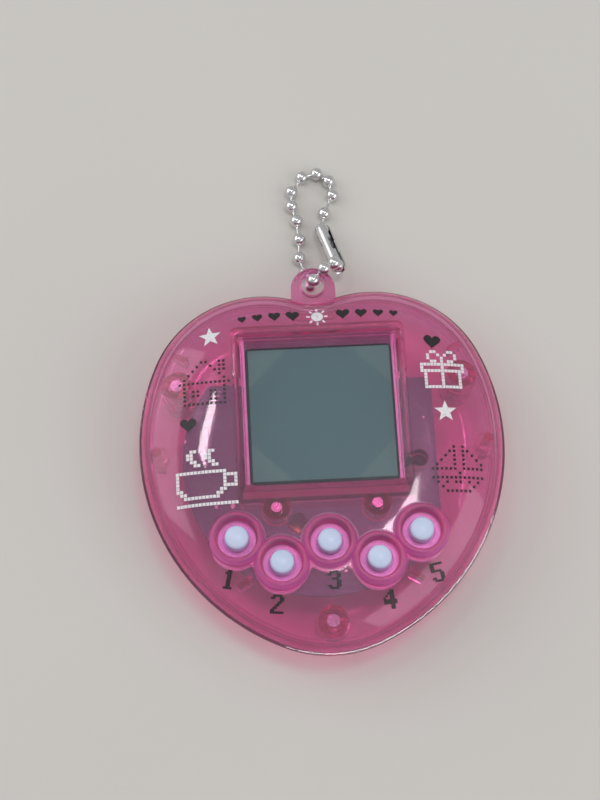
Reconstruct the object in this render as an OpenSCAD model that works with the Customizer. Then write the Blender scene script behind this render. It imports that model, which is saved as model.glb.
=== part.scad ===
// Virtual pet keychain: a heart-shaped handheld toy with a small display, five push
// buttons and a ball chain looped through a tab at its top.
// Millimetres. X to the right of the display, Y towards the tab, Z out of the display.
// The origin is the middle of the flat rear face.

/* [Case outline] */
// Width of the case at its widest point
case_width = 63.7; // [60:0.1:84]
// Length of the case without its tab
case_length = 65.3; // [60:0.1:84]
// Radius of the two upper shoulders
shoulder_radius = 20.5; // [18:0.1:21.5]
// Radius of the lower end
lower_radius = 21.1; // [19:0.1:22]
// Radius of the long sides
side_radius = 38.8; // [38:0.1:46]
// How far the shoulders stay inside the case's widest line
shoulder_setback = 1.57; // [1.2:0.01:2.4]
// Radius of the shallow notch between the shoulders
notch_radius = 7.4; // [5:0.1:12]

/* [Shells] */
// Height of the seam between the shells above the rear face
seam_height = 8; // [7.5:0.1:11]
// Height of the front dome above the seam
dome_height = 6.8; // [6.4:0.1:8.4]
// How far in from the edge the front dome flattens
dome_inset = 16; // [13:0.1:18]
// How far in from the edge the rear curve flattens
rear_inset = 8; // [6:0.1:9]
// Wall thickness of both shells
wall = 1.5; // [1.2:0.1:1.8]
// Step between the front shell's edge and the wider rear shell
seam_step = 0.4; // [0.2:0.05:0.6]
// Height of the locating tongue above the seam
tongue_height = 1; // [0.6:0.1:1.1]
// Thickness of the locating tongue
tongue_thickness = 0.8; // [0.6:0.1:1]

/* [Keychain tab] */
// Width of the tab
tab_width = 8; // [7.2:0.1:9.6]
// Distance from the case's length limit to the tab's tip
tab_reach = 5.2; // [5:0.1:6.4]
// Thickness of the tab
tab_thickness = 3; // [2.4:0.1:3.2]
// Diameter of the hole through the tab
tab_hole = 4.2; // [4.1:0.1:4.6]
// Distance from the tab's tip to the hole's axis
tab_hole_back = 3.1; // [3:0.05:3.2]

/* [Display] */
// Width of the visible display
view_width = 25.7; // [22:0.1:26]
// Length of the visible display
view_length = 24.8; // [21:0.1:26]
// Width of the sloped bezel around the display
bezel = 1.9; // [1.4:0.1:2]
// Width of the display glass
glass_width = 28.2; // [27.8:0.1:30]
// Length of the display glass
glass_length = 30.2; // [28.6:0.1:31]
// Thickness of each sheet of display glass
glass_thickness = 0.55; // [0.4:0.05:0.6]
// Thickness of the clear window over the display
lens_thickness = 0.8; // [0.6:0.05:1]
// Distance of the display's middle from the origin, towards the tab
display_y = 8.8; // [8.6:0.1:9.6]
// Wall thickness of the pocket that holds the display
pocket_wall = 0.9; // [0.8:0.1:1.2]

/* [Buttons] */
// Diameter of a button's peg
peg_diameter = 4; // [3.4:0.1:4.6]
// Travel of a button
button_travel = 0.8; // [0.5:0.05:1]
// Diameter of the well around each peg
well_diameter = 6.9; // [6.6:0.1:7.2]
// Height of the collars' rims above the rear face
collar_height = 16.1; // [15.6:0.1:17]
// How far each peg stands out of its collar
peg_stand_out = 0.45; // [0.2:0.05:0.8]

/* [Board] */
// Thickness of the main board
board_thickness = 1; // [0.8:0.1:1.2]
// Radius of the round part of the board
board_radius = 23.7; // [22.5:0.1:24]

/* [Power and sound] */
// Diameter of a button cell
cell_diameter = 11.6; // [9:0.1:11.8]
// Height of a button cell
cell_height = 5.4; // [4.2:0.1:5.4]
// Thickness of the battery door
door_thickness = 1.2; // [1:0.1:1.2]
// Diameter of the buzzer's brass disc
buzzer_diameter = 15; // [12:0.1:16]

/* [Ball chain] */
// Diameter of a chain ball
ball_diameter = 2.4; // [2:0.1:2.4]
// Diameter of the wire links between the balls
link_diameter = 0.6; // [0.4:0.05:0.6]

/* [Hidden] */

$fn = 48;
cut = 0.5;            // how far a cutting solid runs past the face it cuts
slip = 0.1;           // gap between pieces that slide or are assembled by hand
fit = 0.02;           // gap between a screw's thread and the plastic it is cut in
arc_steps = 8;        // straight stretches along each long arc of the outline
rise_steps = 5;       // levels in each curved edge of the shells

// ---- Case outline: arcs about five centres, mirrored left to right ----
lower_centre = [0, lower_radius - case_length / 2];
side_x = case_width / 2 - side_radius;
side_centre = [side_x, lower_centre[1] + sqrt(pow(side_radius - lower_radius, 2) - side_x * side_x)];
shoulder_x = case_width / 2 - shoulder_radius - shoulder_setback;
shoulder_y = case_length / 2 - shoulder_radius;
shoulder_centre = [shoulder_x, shoulder_y];
upper_side_radius = (pow(shoulder_y - side_centre[1], 2) / shoulder_setback + shoulder_setback) / 2
    + shoulder_radius;
upper_side_centre = [case_width / 2 - upper_side_radius, side_centre[1]];
notch_y = shoulder_y + sqrt(pow(shoulder_radius + notch_radius, 2) - shoulder_x * shoulder_x);
notch_centre = [0, notch_y];

// Angle of the line from one point to another.
function bearing(from, to) = atan2(to[1] - from[1], to[0] - from[0]);

// Points of an arc, without its last one.
function arc(centre, radius, start, end, steps) =
    [for (i = [0:steps - 1]) let (a = start + (end - start) * i / steps)
        centre + radius * [cos(a), sin(a)]];

// Right half of the outline moved inwards by inset, from the lower end up to the notch.
function half_outline(inset) = concat(
    arc(lower_centre, lower_radius - inset, -90, bearing(side_centre, lower_centre), arc_steps),
    arc(side_centre, side_radius - inset, bearing(side_centre, lower_centre), 0, arc_steps - 2),
    arc(upper_side_centre, upper_side_radius - inset, 0,
        bearing(upper_side_centre, shoulder_centre), 3),
    arc(shoulder_centre, shoulder_radius - inset, bearing(upper_side_centre, shoulder_centre),
        bearing(shoulder_centre, notch_centre), arc_steps + 2),
    arc(notch_centre, notch_radius + inset, bearing(notch_centre, shoulder_centre), -90, 3),
    [[0, notch_centre[1] - notch_radius - inset]]);

// Whole outline moved inwards by inset, counter-clockwise from the lower end.
function outline(inset) = let (half = half_outline(inset), last = len(half) - 1)
    concat(half, [for (i = [last - 1:-1:1]) [-half[i][0], half[i][1]]]);

// Solid through copies of the outline, one for each [inset, height], from the lowest up.
module loft(levels) {
    count = len(outline(0));
    top = (len(levels) - 1) * count;
    points = [for (level = levels) for (p = outline(level[0])) [p[0], p[1], level[1]]];
    sides = [for (row = [0:len(levels) - 2]) for (i = [0:count - 1])
        let (a = row * count + i, b = row * count + (i + 1) % count)
            each [[a, b + count, b], [a, a + count, b + count]]];
    lower_face = [for (i = [0:count - 1]) i];
    upper_face = [for (i = [count:-1:1]) top + i % count];
    polyhedron(points, concat([lower_face], sides, [upper_face]));
}

// Levels of a curved edge: an ellipse of the given inset and height, starting at a level
// and going up (side 1) or down (side -1), moved inwards by thickness along its own normal.
function curved_edge(start_inset, start_height, inset, height, side, thickness) =
    [for (i = [0:rise_steps])
        let (a = 90 * i / rise_steps, n = [cos(a) / inset, sin(a) / height], unit = n / norm(n))
            [start_inset + inset * (1 - cos(a)) + thickness * unit[0],
             start_height + side * (height * sin(a) - thickness * unit[1])]];

function reversed(list) = [for (i = [len(list) - 1:-1:0]) list[i]];

// ---- Heights, from the rear face up ----
door_recess = 0.2;
door_inner = door_recess + door_thickness;
bridge_thickness = 0.2;
cell_base = door_inner + bridge_thickness;
contact_thickness = 0.3;
contact_base = cell_base + cell_height;
pocket_roof = contact_base + contact_thickness;
pocket_top = pocket_roof + 0.6;
board_base = pocket_top + 0.3;
board_top = board_base + board_thickness;
frame_top = seam_height + dome_height - 0.05;
window_top = frame_top - 2.75;
window_base = window_top - lens_thickness;
film_thickness = 0.2;
front_glass_top = window_base - film_thickness;
front_glass_base = front_glass_top - glass_thickness;
rear_glass_base = front_glass_base - glass_thickness;
reflector_base = rear_glass_base - film_thickness;
well_floor = collar_height - 2;
floor_thickness = 1.1;
flange_top = well_floor - floor_thickness - slip;
flange_thickness = 0.85;
contact_pad_thickness = 0.1;
dome_wall = 0.8;
contact_gap = 0.4;    // left between a dome and its contact at the end of the travel
dome_top = board_top + contact_pad_thickness + contact_gap + button_travel + dome_wall;
stem_base = dome_top + 0.05;
peg_top = collar_height + peg_stand_out;

// ---- Display ----
frame_width = glass_width + 2 * (slip + pocket_wall);
frame_length = glass_length + 2 * (slip + pocket_wall);
glass_y = display_y + 0.1;
ledge = 2.4;          // strip of the front glass that carries the display's contacts
side_cut_length = 15; // open stretch in each side wall of the display pocket

// ---- Buttons: distances from the middle and from the lower end ----
outer_button = [15.55, 19.2];
inner_button = [8.15, 14.75];
middle_button_up = 18.05;
case_low = -case_length / 2;
button_places = [[-outer_button[0], case_low + outer_button[1]],
    [-inner_button[0], case_low + inner_button[1]], [0, case_low + middle_button_up],
    [inner_button[0], case_low + inner_button[1]], [outer_button[0], case_low + outer_button[1]]];
peg_hole = peg_diameter + 0.4;
flange_radius = well_diameter / 2 - 0.25;
stem_radius = 1.6;
collar_radius = well_diameter / 2 + 1.2;
collar_base = flange_top - flange_thickness - 0.3;
dome_radius = 2.8;
sheet_thickness = 0.8;

// ---- Bosses, posts, pins and ribs ----
boss_inset = 5.35;    // from the case's edge to the axis of each case screw
upper_boss_angle = 11;
boss_places = [[0, case_low + boss_inset],
    for (s = [-1, 1]) [s * (shoulder_centre[0] + (shoulder_radius - boss_inset) * cos(upper_boss_angle)),
        shoulder_centre[1] + (shoulder_radius - boss_inset) * sin(upper_boss_angle)]];
boss_radius = 2.5;
rear_boss_radius = 2.9;
case_screw_radius = 1.1;
case_screw_head = 1.9;
case_screw_seat = 3.4;
case_screw_end = seam_height + 3.2;
head_height = 1.4;
post_places = [for (s = [-1, 1]) [s * 8.6, glass_y - frame_length / 2 - 0.6]];
post_radius = 2.4;
board_screw_radius = 0.9;
board_screw_head = 1.7;
board_head_height = 0.8;
board_screw_end = board_top + 2.8;
stud_place = [frame_width / 2 + 1.1, glass_y - 9.4];
stud_radius = 1.5;
pin_inset = 3.4;
pin_radius = 0.8;
pin_angle = -2;
socket_radius = 1.9;
pin_depth = 3;
pin_places = [for (s = [-1, 1])
    [s * (side_centre[0] + (side_radius - pin_inset) * cos(pin_angle)),
        side_centre[1] + (side_radius - pin_inset) * sin(pin_angle)]];
rib_thickness = 1;
rib_inset = seam_step + wall + slip + tongue_thickness + 0.3;
rib_length = 2.6;

// ---- Battery pocket and door ----
pocket_centre = [0, 9.4];
cell_gap = 0.6;
cell_x = (cell_diameter + cell_gap) / 2;
pocket_radius = cell_diameter / 2 + 0.3;
door_radius = pocket_radius + 1.6;
ear_radius = 3.2;
ear_y = pocket_centre[1] + door_radius + 1.4;
door_screw_radius = 0.9;
door_screw_head = 1.6;
door_head_height = 0.7;
door_screw_end = 5.6;
shelf_top = door_inner + 1;

// ---- Board ----
board_centre = [-0.5, case_low + 33.65];
board_right = 19.5;   // straight right edge of the board
board_shelf = glass_y + 6.5; // where the round part ends, towards the tab
board_hole = [-5.1, case_low + 22.8];
chip_x = cell_x + pocket_radius + 1.8; // small parts stay clear of the battery pocket

// ---- Buzzer ----
buzzer_place = [0, case_low + 20.6];
buzzer_base = wall;
disc_thickness = 0.2;
ceramic_radius = buzzer_diameter / 3;
seat_height = 1.2;
sound_hole = 0.6;
sound_ring = 3;

// ---- Tab and ball chain ----
tab_top = seam_height - 0.1;
tab_tip = case_length / 2 + tab_reach;
hole_y = tab_tip - tab_hole_back;
ball = ball_diameter / 2;
hook = [0, hole_y, 0]; // the chain's places are counted from the tab hole's axis
// Balls over and under the tab, from the clasp's lower end round to the left strand
hook_places = [[4.9, 4.7, 4.4], [4.1, 4, 7.3], [2.1, 2.3, tab_top + ball + 0.05],
    [0.15, 0.7, 7.6], [-0.35, 0.95, 4], [-1.1, 4.2, 2.4]];
clasp_end = [2.7, 12.8, 1.8];
left_near = [[-1.9, 7.7, ball + 0.1], [-1.75, 11.5, ball], [-2.05, 15.3, ball]];
right_near = [3.2, 16.55, ball];
left_far = [-2.8, 18.3, ball];
right_far = [4.9, 20.2, ball];
end_places = [[-2.7, 21.2, ball], [-0.6, 24.1, ball], [2.2, 24.7, ball], [4.4, 23.1, ball]];
clasp_wall = 0.25;
clasp_inner = ball + 0.2;
clasp_outer = clasp_inner + clasp_wall;
clasp_slot = 1.4;
clasp_mouth = 1;
clasp_roll = 160;

// ---- Shared shapes ----
// Flat rectangle with round corners.
module rounded_rectangle(width, length, radius) {
    square([width - 2 * radius, length], center = true);
    square([width, length - 2 * radius], center = true);
    for (x = [-1, 1], y = [-1, 1])
        translate([x * (width / 2 - radius), y * (length / 2 - radius)]) circle(radius);
}

// Cylinder between two heights at a place.
module post(place, radius, low, high)
    translate([place[0], place[1], low]) cylinder(r = radius, h = high - low);

// Round-ended slot shape over both cells.
module cell_outline(radius) {
    square([2 * cell_x, 2 * radius], center = true);
    for (s = [-1, 1]) translate([s * cell_x, 0]) circle(radius);
}

// Straight wire between two balls, ending at their surfaces.
module link(from, to) {
    step = to - from;
    length = norm(step);
    translate(from) rotate([0, acos(step[2] / length), atan2(step[1], step[0])])
        translate([0, 0, ball + 0.05])
            cylinder(d = link_diameter, h = length - 2 * ball - 0.1, $fn = 24);
}

module links(places)
    for (i = [0:len(places) - 2]) link(places[i], places[i + 1]);

module balls(places)
    for (p = places) translate(p) sphere(ball, $fn = 40);

// ---- Front shell ----
module front_outer()
    loft(curved_edge(seam_step, seam_height, dome_inset, dome_height, 1, 0));

module front_cavity()
    loft(concat([[seam_step + wall, seam_height - cut]],
        curved_edge(seam_step, seam_height, dome_inset, dome_height, 1, wall)));

// Walls, posts, ribs and pins that hang from the inside of the dome.
module front_inner_features() {
    translate([0, glass_y, board_top + 0.1]) linear_extrude(frame_top - board_top)
        rounded_rectangle(frame_width, frame_length, 1);
    for (p = boss_places) post(p, boss_radius, seam_height + 0.05, frame_top);
    for (p = post_places) post(p, post_radius, board_top, frame_top);
    post(stud_place, stud_radius, board_top, frame_top);
    for (p = pin_places) post(p, pin_radius, seam_height - pin_depth, frame_top);
    for (p = button_places) post(p, collar_radius - 0.3, collar_base, frame_top);
    clip_ribs();
}

module rib(centre, radius, angle)
    translate([centre[0], centre[1], seam_height + 0.05]) rotate([0, 0, angle])
        translate([radius - rib_inset - rib_length, -rib_thickness / 2, 0])
            cube([rib_length, rib_thickness, dome_height]);

module clip_ribs()
    for (s = [0, 1]) mirror([s, 0, 0]) {
        rib(lower_centre, lower_radius, -31);
        rib(shoulder_centre, shoulder_radius, 30);
    }

// Ring around one button: a rounded rim above the dome and a guide for the flange below.
module collar()
    rotate_extrude() {
        translate([0, collar_base]) square([collar_radius - 0.3, collar_height - collar_base - 1.6]);
        polygon([[0, well_floor - 1.5], [collar_radius, well_floor - 1.5],
            [collar_radius - 0.35, collar_height - 0.45], [0, collar_height - 0.45]]);
        translate([well_diameter / 2, collar_height - 0.45]) square([0.42, 0.45]);
        translate([well_diameter / 2 + 0.42, collar_height - 0.43]) circle(0.43);
    }

// Well above a collar's floor, room for the flange below it, and the peg's hole between them.
module collar_bore(place) {
    post(place, well_diameter / 2, well_floor, collar_height + cut);
    post(place, peg_hole / 2, collar_base - cut, collar_height + cut);
    post(place, well_diameter / 2, collar_base - cut, well_floor - floor_thickness);
}

// Sloped opening over the display.
module window_opening() {
    hull() {
        translate([0, display_y, window_top]) linear_extrude(0.01)
            rounded_rectangle(view_width, view_length, 1, $fn = 24);
        translate([0, display_y, frame_top + 0.2]) linear_extrude(0.01)
            rounded_rectangle(view_width + 2 * bezel, view_length + 2 * bezel, 2, $fn = 24);
    }
    translate([0, display_y, window_top - cut]) linear_extrude(2 * cut)
        rounded_rectangle(view_width, view_length, 1);
}

module display_pocket() {
    width = glass_width + 2 * slip;
    length = glass_length + 2 * slip;
    translate([-width / 2, glass_y - length / 2, 0]) cube([width, length, window_top]);
    translate([-frame_width / 2 - slip, display_y - side_cut_length / 2, 0])
        cube([frame_width + 2 * slip, side_cut_length, window_base]);
}

module front_shell() color([0.86, 0.36, 0.55, 0.6])
    difference() {
        union() {
            difference() {
                front_outer();
                difference() {
                    front_cavity();
                    front_inner_features();
                }
                for (p = button_places) post(p, well_diameter / 2 + 0.5, seam_height, collar_height);
            }
            translate([0, display_y, window_top]) linear_extrude(frame_top - window_top)
                rounded_rectangle(frame_width, view_length + 2 * bezel + 1.8, 2.4);
            for (p = pin_places) post(p, pin_radius, seam_height - pin_depth, seam_height + 1);
            for (p = button_places) translate([p[0], p[1], 0]) collar();
        }
        for (p = button_places) collar_bore(p);
        window_opening();
        display_pocket();
        for (p = boss_places) post(p, case_screw_radius + fit, seam_height - cut, case_screw_end + 0.3);
        for (p = post_places) post(p, board_screw_radius + fit, board_top - cut, board_screw_end + 0.3);
    }

// ---- Rear shell ----
module rear_outer()
    loft(reversed(curved_edge(0, seam_height, rear_inset, seam_height, -1, 0)));

module rear_cavity()
    loft(concat(reversed(curved_edge(0, seam_height, rear_inset, seam_height, -1, wall)),
        [[wall, seam_height + cut]]));

// Ring that rises inside the front shell's edge, leaning in with it, and lines the two shells up.
module tongue() {
    inset = seam_step + wall + slip;
    inner = curved_edge(seam_step, seam_height, dome_inset, dome_height, 1, wall);
    lean = tongue_height * (inner[1][0] - inner[0][0]) / (inner[1][1] - inner[0][1]);
    difference() {
        loft([[wall - 0.2, seam_height - 1.8], [wall - 0.2, seam_height - 0.1],
            [inset, seam_height], [inset + lean, seam_height + tongue_height]]);
        loft([[inset + tongue_thickness, seam_height - 2],
            [inset + tongue_thickness, seam_height + tongue_height + 1]]);
    }
}

module rear_inner_features() {
    for (p = boss_places) post(p, rear_boss_radius, 0, seam_height - 0.05);
    for (p = pin_places) post(p, socket_radius, 0, seam_height - 0.05);
    translate([pocket_centre[0], pocket_centre[1], 0]) linear_extrude(pocket_top)
        cell_outline(pocket_radius + 1);
    translate([pocket_centre[0], pocket_centre[1], 0]) linear_extrude(shelf_top)
        cell_outline(door_radius + 1);
    post([0, ear_y], ear_radius + 1, 0, shelf_top);
    post([0, ear_y], door_screw_radius + 1.2, 0, door_screw_end + 0.8);
    difference() {
        post(buzzer_place, buzzer_diameter / 2 + 0.9, 0, buzzer_base + seat_height);
        post(buzzer_place, buzzer_diameter / 2 + slip, 0, buzzer_base + seat_height + cut);
    }
}

// Flat outline of the battery door, grown by extra.
module door_outline(extra) {
    translate(pocket_centre) cell_outline(door_radius + extra);
    translate([0, ear_y]) circle(ear_radius + extra);
    translate([-ear_radius - extra, pocket_centre[1]])
        square([2 * (ear_radius + extra), ear_y - pocket_centre[1]]);
}

module tab() {
    translate([0, tab_tip - tab_width / 2, tab_top - tab_thickness])
        cylinder(d = tab_width, h = tab_thickness);
    translate([-tab_width / 2, shoulder_centre[1], tab_top - tab_thickness])
        cube([tab_width, tab_tip - tab_width / 2 - shoulder_centre[1], tab_thickness]);
}

module sound_holes() {
    post(buzzer_place, sound_hole, -cut, wall + cut);
    for (a = [0:60:300])
        post(buzzer_place + sound_ring * [cos(a), sin(a)], sound_hole, -cut, wall + cut);
}

module contact_slots()
    for (s = [-1, 1]) translate([s * cell_x - 1, pocket_centre[1] - 0.4, pocket_roof - cut])
        cube([2, 0.8, 2]);

module rear_shell() color([0.82, 0.3, 0.48, 0.6])
    difference() {
        union() {
            difference() {
                union() {
                    rear_outer();
                    tab();
                }
                difference() {
                    rear_cavity();
                    rear_inner_features();
                }
            }
            tongue();
        }
        for (p = boss_places) {
            post(p, case_screw_radius + 0.15, 0, seam_height + cut);
            post(p, case_screw_head + 0.2, -cut, case_screw_seat);
        }
        for (p = pin_places) post(p, pin_radius + slip, seam_height - pin_depth - 0.5, seam_height + 2);
        post([0, hole_y], tab_hole / 2, 0, seam_height + cut);
        translate([0, 0, -cut]) linear_extrude(door_inner + cut) door_outline(0.15);
        translate([pocket_centre[0], pocket_centre[1], 0]) linear_extrude(pocket_roof)
            cell_outline(pocket_radius);
        post([0, ear_y], door_screw_radius + fit, 0, door_screw_end + 0.2);
        contact_slots();
        sound_holes();
    }

// ---- Battery door and fasteners ----
module battery_door() color([0.82, 0.3, 0.48, 0.8])
    difference() {
        translate([0, 0, door_recess]) linear_extrude(door_thickness) door_outline(0);
        post([0, ear_y], door_screw_head + 0.1, 0, door_recess + door_head_height + 0.1);
        post([0, ear_y], door_screw_radius + 0.15, 0, door_inner + cut);
    }

// Pan-head screw standing on its head, with a cross recess.
module screw(head_radius, head, radius, low, end)
    difference() {
        union() {
            translate([0, 0, low]) cylinder(r = head_radius, h = head);
            translate([0, 0, low + head - 0.01]) cylinder(r = radius, h = end - low - head + 0.01);
        }
        for (a = [0, 90]) rotate([0, 0, a])
            translate([-head_radius * 0.6, -0.2, low - cut]) cube([head_radius * 1.2, 0.4, cut + head / 2]);
    }

module battery_door_screw() color("silver") translate([0, ear_y, 0])
    screw(door_screw_head, door_head_height, door_screw_radius, door_recess + 0.1, door_screw_end);

module case_screws() color("silver")
    for (p = boss_places) translate(p)
        screw(case_screw_head, head_height, case_screw_radius, case_screw_seat - head_height, case_screw_end);

module board_screws() color("silver")
    for (p = post_places) translate(p)
        screw(board_screw_head, board_head_height, board_screw_radius,
            board_base - board_head_height, board_screw_end);

// ---- Display stack ----
// Plate of the display stack between two heights; low_edge is how far its lower edge is drawn in.
module plate(margin, low_edge, low, high) {
    width = glass_width - 2 * margin;
    length = glass_length - 2 * margin - low_edge;
    translate([-width / 2, glass_y - glass_length / 2 + margin + low_edge, low])
        cube([width, length, high - low]);
}

module display_window() color([0.9, 0.95, 0.95, 0.3]) plate(0.05, 0, window_base, window_top);

module display_polariser() color([0.45, 0.55, 0.5, 0.7])
    plate(0.9, ledge - 0.9, front_glass_top, window_base);

module display_front_glass() color([0.6, 0.72, 0.68, 0.6]) plate(0, 0, front_glass_base, front_glass_top);

module display_rear_glass() color([0.6, 0.72, 0.68, 0.6])
    plate(0, ledge, rear_glass_base, front_glass_base);

module display_reflector() color([0.4, 0.48, 0.46]) plate(0.9, ledge, reflector_base, rear_glass_base);

module display_foam() color("white")
    for (s = [0, 1]) mirror([s, 0, 0])
        translate([glass_width / 2 - 5, glass_y - 8, board_top]) cube([3, 20, reflector_base - board_top]);

module zebra_strip() color([0.2, 0.2, 0.22])
    translate([-12, glass_y - glass_length / 2 + 0.3, board_top])
        cube([24, 1.9, front_glass_base - board_top]);

// ---- Board and keypad ----
module board_outline()
    difference() {
        union() {
            intersection() {
                translate(board_centre) circle(board_radius, $fn = 72);
                translate([board_right - 60, board_shelf - 60]) square(60);
            }
            translate([-14, glass_y - 9.2]) square([28, 23.5]);
        }
        for (p = post_places) translate(p) circle(board_screw_radius + 0.2);
        translate(board_hole) circle(1.8);
    }

module main_board() color([0.55, 0.5, 0.62])
    translate([0, 0, board_base]) linear_extrude(board_thickness) board_outline();

module chip_blob() color([0.06, 0.06, 0.07]) translate([post_places[0][0] - 4.4, post_places[0][1] + 4.4, board_base])
    rotate_extrude() polygon([[0, 0], [3.6, 0], [3.3, -0.5], [2.5, -0.95], [1.3, -1.2], [0, -1.3]]);

module crystal_can() color("silver") translate([-19.5, board_centre[1] + 5, board_base - 1]) {
    rotate([-90, 0, 0]) cylinder(d = 2, h = 6);
    for (s = [-1, 1]) translate([s * 0.4 - 0.15, -1.6, -0.15]) cube([0.3, 1.6, 0.3]);
}

module chip_components() color([0.75, 0.66, 0.5])
    for (p = [[-18, -7], [-18, -10], [chip_x, 2], [chip_x, 5], [chip_x, 8]])
        translate([p[0], board_centre[1] + p[1], board_base - 0.8]) cube([1.6, 0.8, 0.8]);

module key_contacts() color([0.08, 0.08, 0.09])
    for (p = button_places) post(p, 2, board_top, board_top + contact_pad_thickness);

// Silicone sheet with a round opening for each dome.
module keypad_sheet() color([0.9, 0.88, 0.9])
    translate([0, 0, board_top]) linear_extrude(sheet_thickness) difference() {
        union() {
            for (p = button_places) translate(p) circle(dome_radius + 1.5);
            for (i = [0:3]) let (a = button_places[i], b = button_places[i + 1])
                translate(a) rotate(bearing(a, b)) translate([0, -2]) square([norm(b - a), 4]);
        }
        for (p = button_places) translate(p) circle(dome_radius + slip);
        for (p = post_places) translate(p) circle(post_radius + 0.2);
        translate(board_hole) circle(2);
    }

// Rubber dome over a contact; the button's stem rests on its flat crown.
module key_dome(place) color([0.93, 0.92, 0.93]) translate([place[0], place[1], 0])
    rotate_extrude() polygon([[dome_radius - 0.6, board_top], [dome_radius, board_top],
        [dome_radius, board_top + 0.7], [1.7, dome_top - 0.4], [1.7, dome_top], [0, dome_top],
        [0, dome_top - dome_wall], [1.2, dome_top - dome_wall], [dome_radius - 0.6, board_top + 0.6]]);

module key_dome_1() key_dome(button_places[0]);
module key_dome_2() key_dome(button_places[1]);
module key_dome_3() key_dome(button_places[2]);
module key_dome_4() key_dome(button_places[3]);
module key_dome_5() key_dome(button_places[4]);

// Button cap: a peg with a domed end, a flange that keeps it in, and a stem on the dome.
module button(place) color("white") translate([place[0], place[1], 0]) {
    translate([0, 0, stem_base]) cylinder(r = stem_radius, h = flange_top - stem_base);
    translate([0, 0, flange_top - flange_thickness]) cylinder(r = flange_radius, h = flange_thickness);
    rotate_extrude() intersection() {
        translate([0, flange_top - flange_thickness]) square([peg_diameter / 2, 20]);
        translate([0, peg_top - peg_diameter]) circle(peg_diameter, $fn = 96);
    }
    translate([0, 0, flange_top - flange_thickness])
        cylinder(d = peg_diameter, h = peg_top - peg_diameter * 0.2 - flange_top + flange_thickness);
}

module button_1() button(button_places[0]);
module button_2() button(button_places[1]);
module button_3() button(button_places[2]);
module button_4() button(button_places[3]);
module button_5() button(button_places[4]);

// ---- Sound ----
module buzzer_disc() color([0.8, 0.65, 0.3])
    post(buzzer_place, buzzer_diameter / 2, buzzer_base, buzzer_base + disc_thickness);

module buzzer_ceramic() color([0.85, 0.85, 0.8])
    post(buzzer_place, ceramic_radius, buzzer_base + disc_thickness, buzzer_base + 2 * disc_thickness);

// Round wire along a list of points, with eight sides.
module wire(points, radius) {
    count = len(points);
    sides = 8;
    tangents = [for (i = [0:count - 1]) points[min(i + 1, count - 1)] - points[max(i - 1, 0)]];
    rings = [for (i = [0:count - 1]) let (t = tangents[i] / norm(tangents[i]),
        u = cross(t, [1, 0, 0]) / norm(cross(t, [1, 0, 0])), v = cross(t, u))
            for (k = [0:sides - 1]) points[i] + radius * (cos(45 * k) * u + sin(45 * k) * v)];
    skin = [for (i = [0:count - 2]) for (k = [0:sides - 1])
        let (a = i * sides + k, b = i * sides + (k + 1) % sides)
            each [[a, b + sides, b], [a, a + sides, b + sides]]];
    polyhedron(rings, concat([[for (k = [0:sides - 1]) k]], skin,
        [[for (k = [sides - 1:-1:0]) (count - 1) * sides + k]]));
}

// Both leads rise from the buzzer and end under the board.
module buzzer_wires() color([0.8, 0.1, 0.1])
    for (s = [-1, 1]) let (start = [buzzer_place[0] + s * 4.2, buzzer_place[1] + 1, buzzer_base + 0.75])
        wire([start, start + [s * 1.5, 1.5, 0], start + [s * 3, 3, 1.4], start + [s * 4.2, 4.5, 2.8],
            start + [s * 4.8, 5.4, 4.4], [start[0] + s * 5, start[1] + 5.8, board_base - 0.05]], 0.35);

// ---- Power ----
module battery_cell(side) color("silver")
    translate([pocket_centre[0] + side * cell_x, pocket_centre[1], cell_base]) {
        cylinder(d = cell_diameter, h = cell_height - 0.3);
        translate([0, 0, cell_height - 0.31]) cylinder(d = cell_diameter - 2, h = 0.31);
    }

module battery_cell_1() battery_cell(-1);
module battery_cell_2() battery_cell(1);

module battery_bridge() color([0.8, 0.8, 0.75])
    translate([pocket_centre[0], pocket_centre[1], door_inner])
        linear_extrude(bridge_thickness) rounded_rectangle(2 * cell_x + 6, 6, 1);

// Contact plate under the pocket's roof, with a tail that reaches the board.
module battery_contact(side) color([0.8, 0.8, 0.75])
    translate([pocket_centre[0] + side * cell_x, pocket_centre[1], 0]) {
        translate([-3, -2.5, contact_base]) cube([6, 5, contact_thickness]);
        translate([-0.75, -0.15, contact_base]) cube([1.5, 0.3, board_base - contact_base]);
    }

module battery_contact_positive() battery_contact(1);
module battery_contact_negative() battery_contact(-1);

// ---- Ball chain ----
module chain_hook_balls() color("silver") translate(hook) balls(hook_places);

module chain_hook_links() color("silver") translate(hook) links(hook_places);

// Folded tube with a cup round the ball at each end and a slot along its upper side.
module chain_clasp() color("silver") {
    step = clasp_end - hook_places[0];
    length = norm(step);
    translate(hook + hook_places[0])
        rotate([0, acos(step[2] / length), atan2(step[1], step[0])]) rotate([0, 0, clasp_roll])
            difference() {
                union() {
                    cylinder(r = clasp_outer, h = length);
                    for (z = [0, length]) translate([0, 0, z]) sphere(clasp_outer);
                }
                cylinder(r = clasp_inner, h = length);
                for (z = [0, length]) translate([0, 0, z]) sphere(clasp_inner);
                translate([0, 0, -5]) cylinder(r = clasp_mouth, h = length + 10);
                translate([0, -clasp_slot / 2, -5]) cube([5, clasp_slot, length + 10]);
                translate([0, 0, length / 2]) rotate([0, 90, 0]) cylinder(r = ball + 0.15, h = 5);
            }
}

module chain_near_balls() color("silver") translate(hook) balls(concat(left_near, [clasp_end, right_near]));

module chain_near_links() color("silver") translate(hook) {
    links(concat([hook_places[5]], left_near));
    link(clasp_end, right_near);
}

module chain_middle_links() color("silver") translate(hook) {
    link(left_near[2], left_far);
    link(right_near, right_far);
}

module chain_end_balls() color("silver") translate(hook) balls(concat([left_far], end_places, [right_far]));

module chain_end_links() color("silver") translate(hook) links(concat([left_far], end_places, [right_far]));

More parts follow.
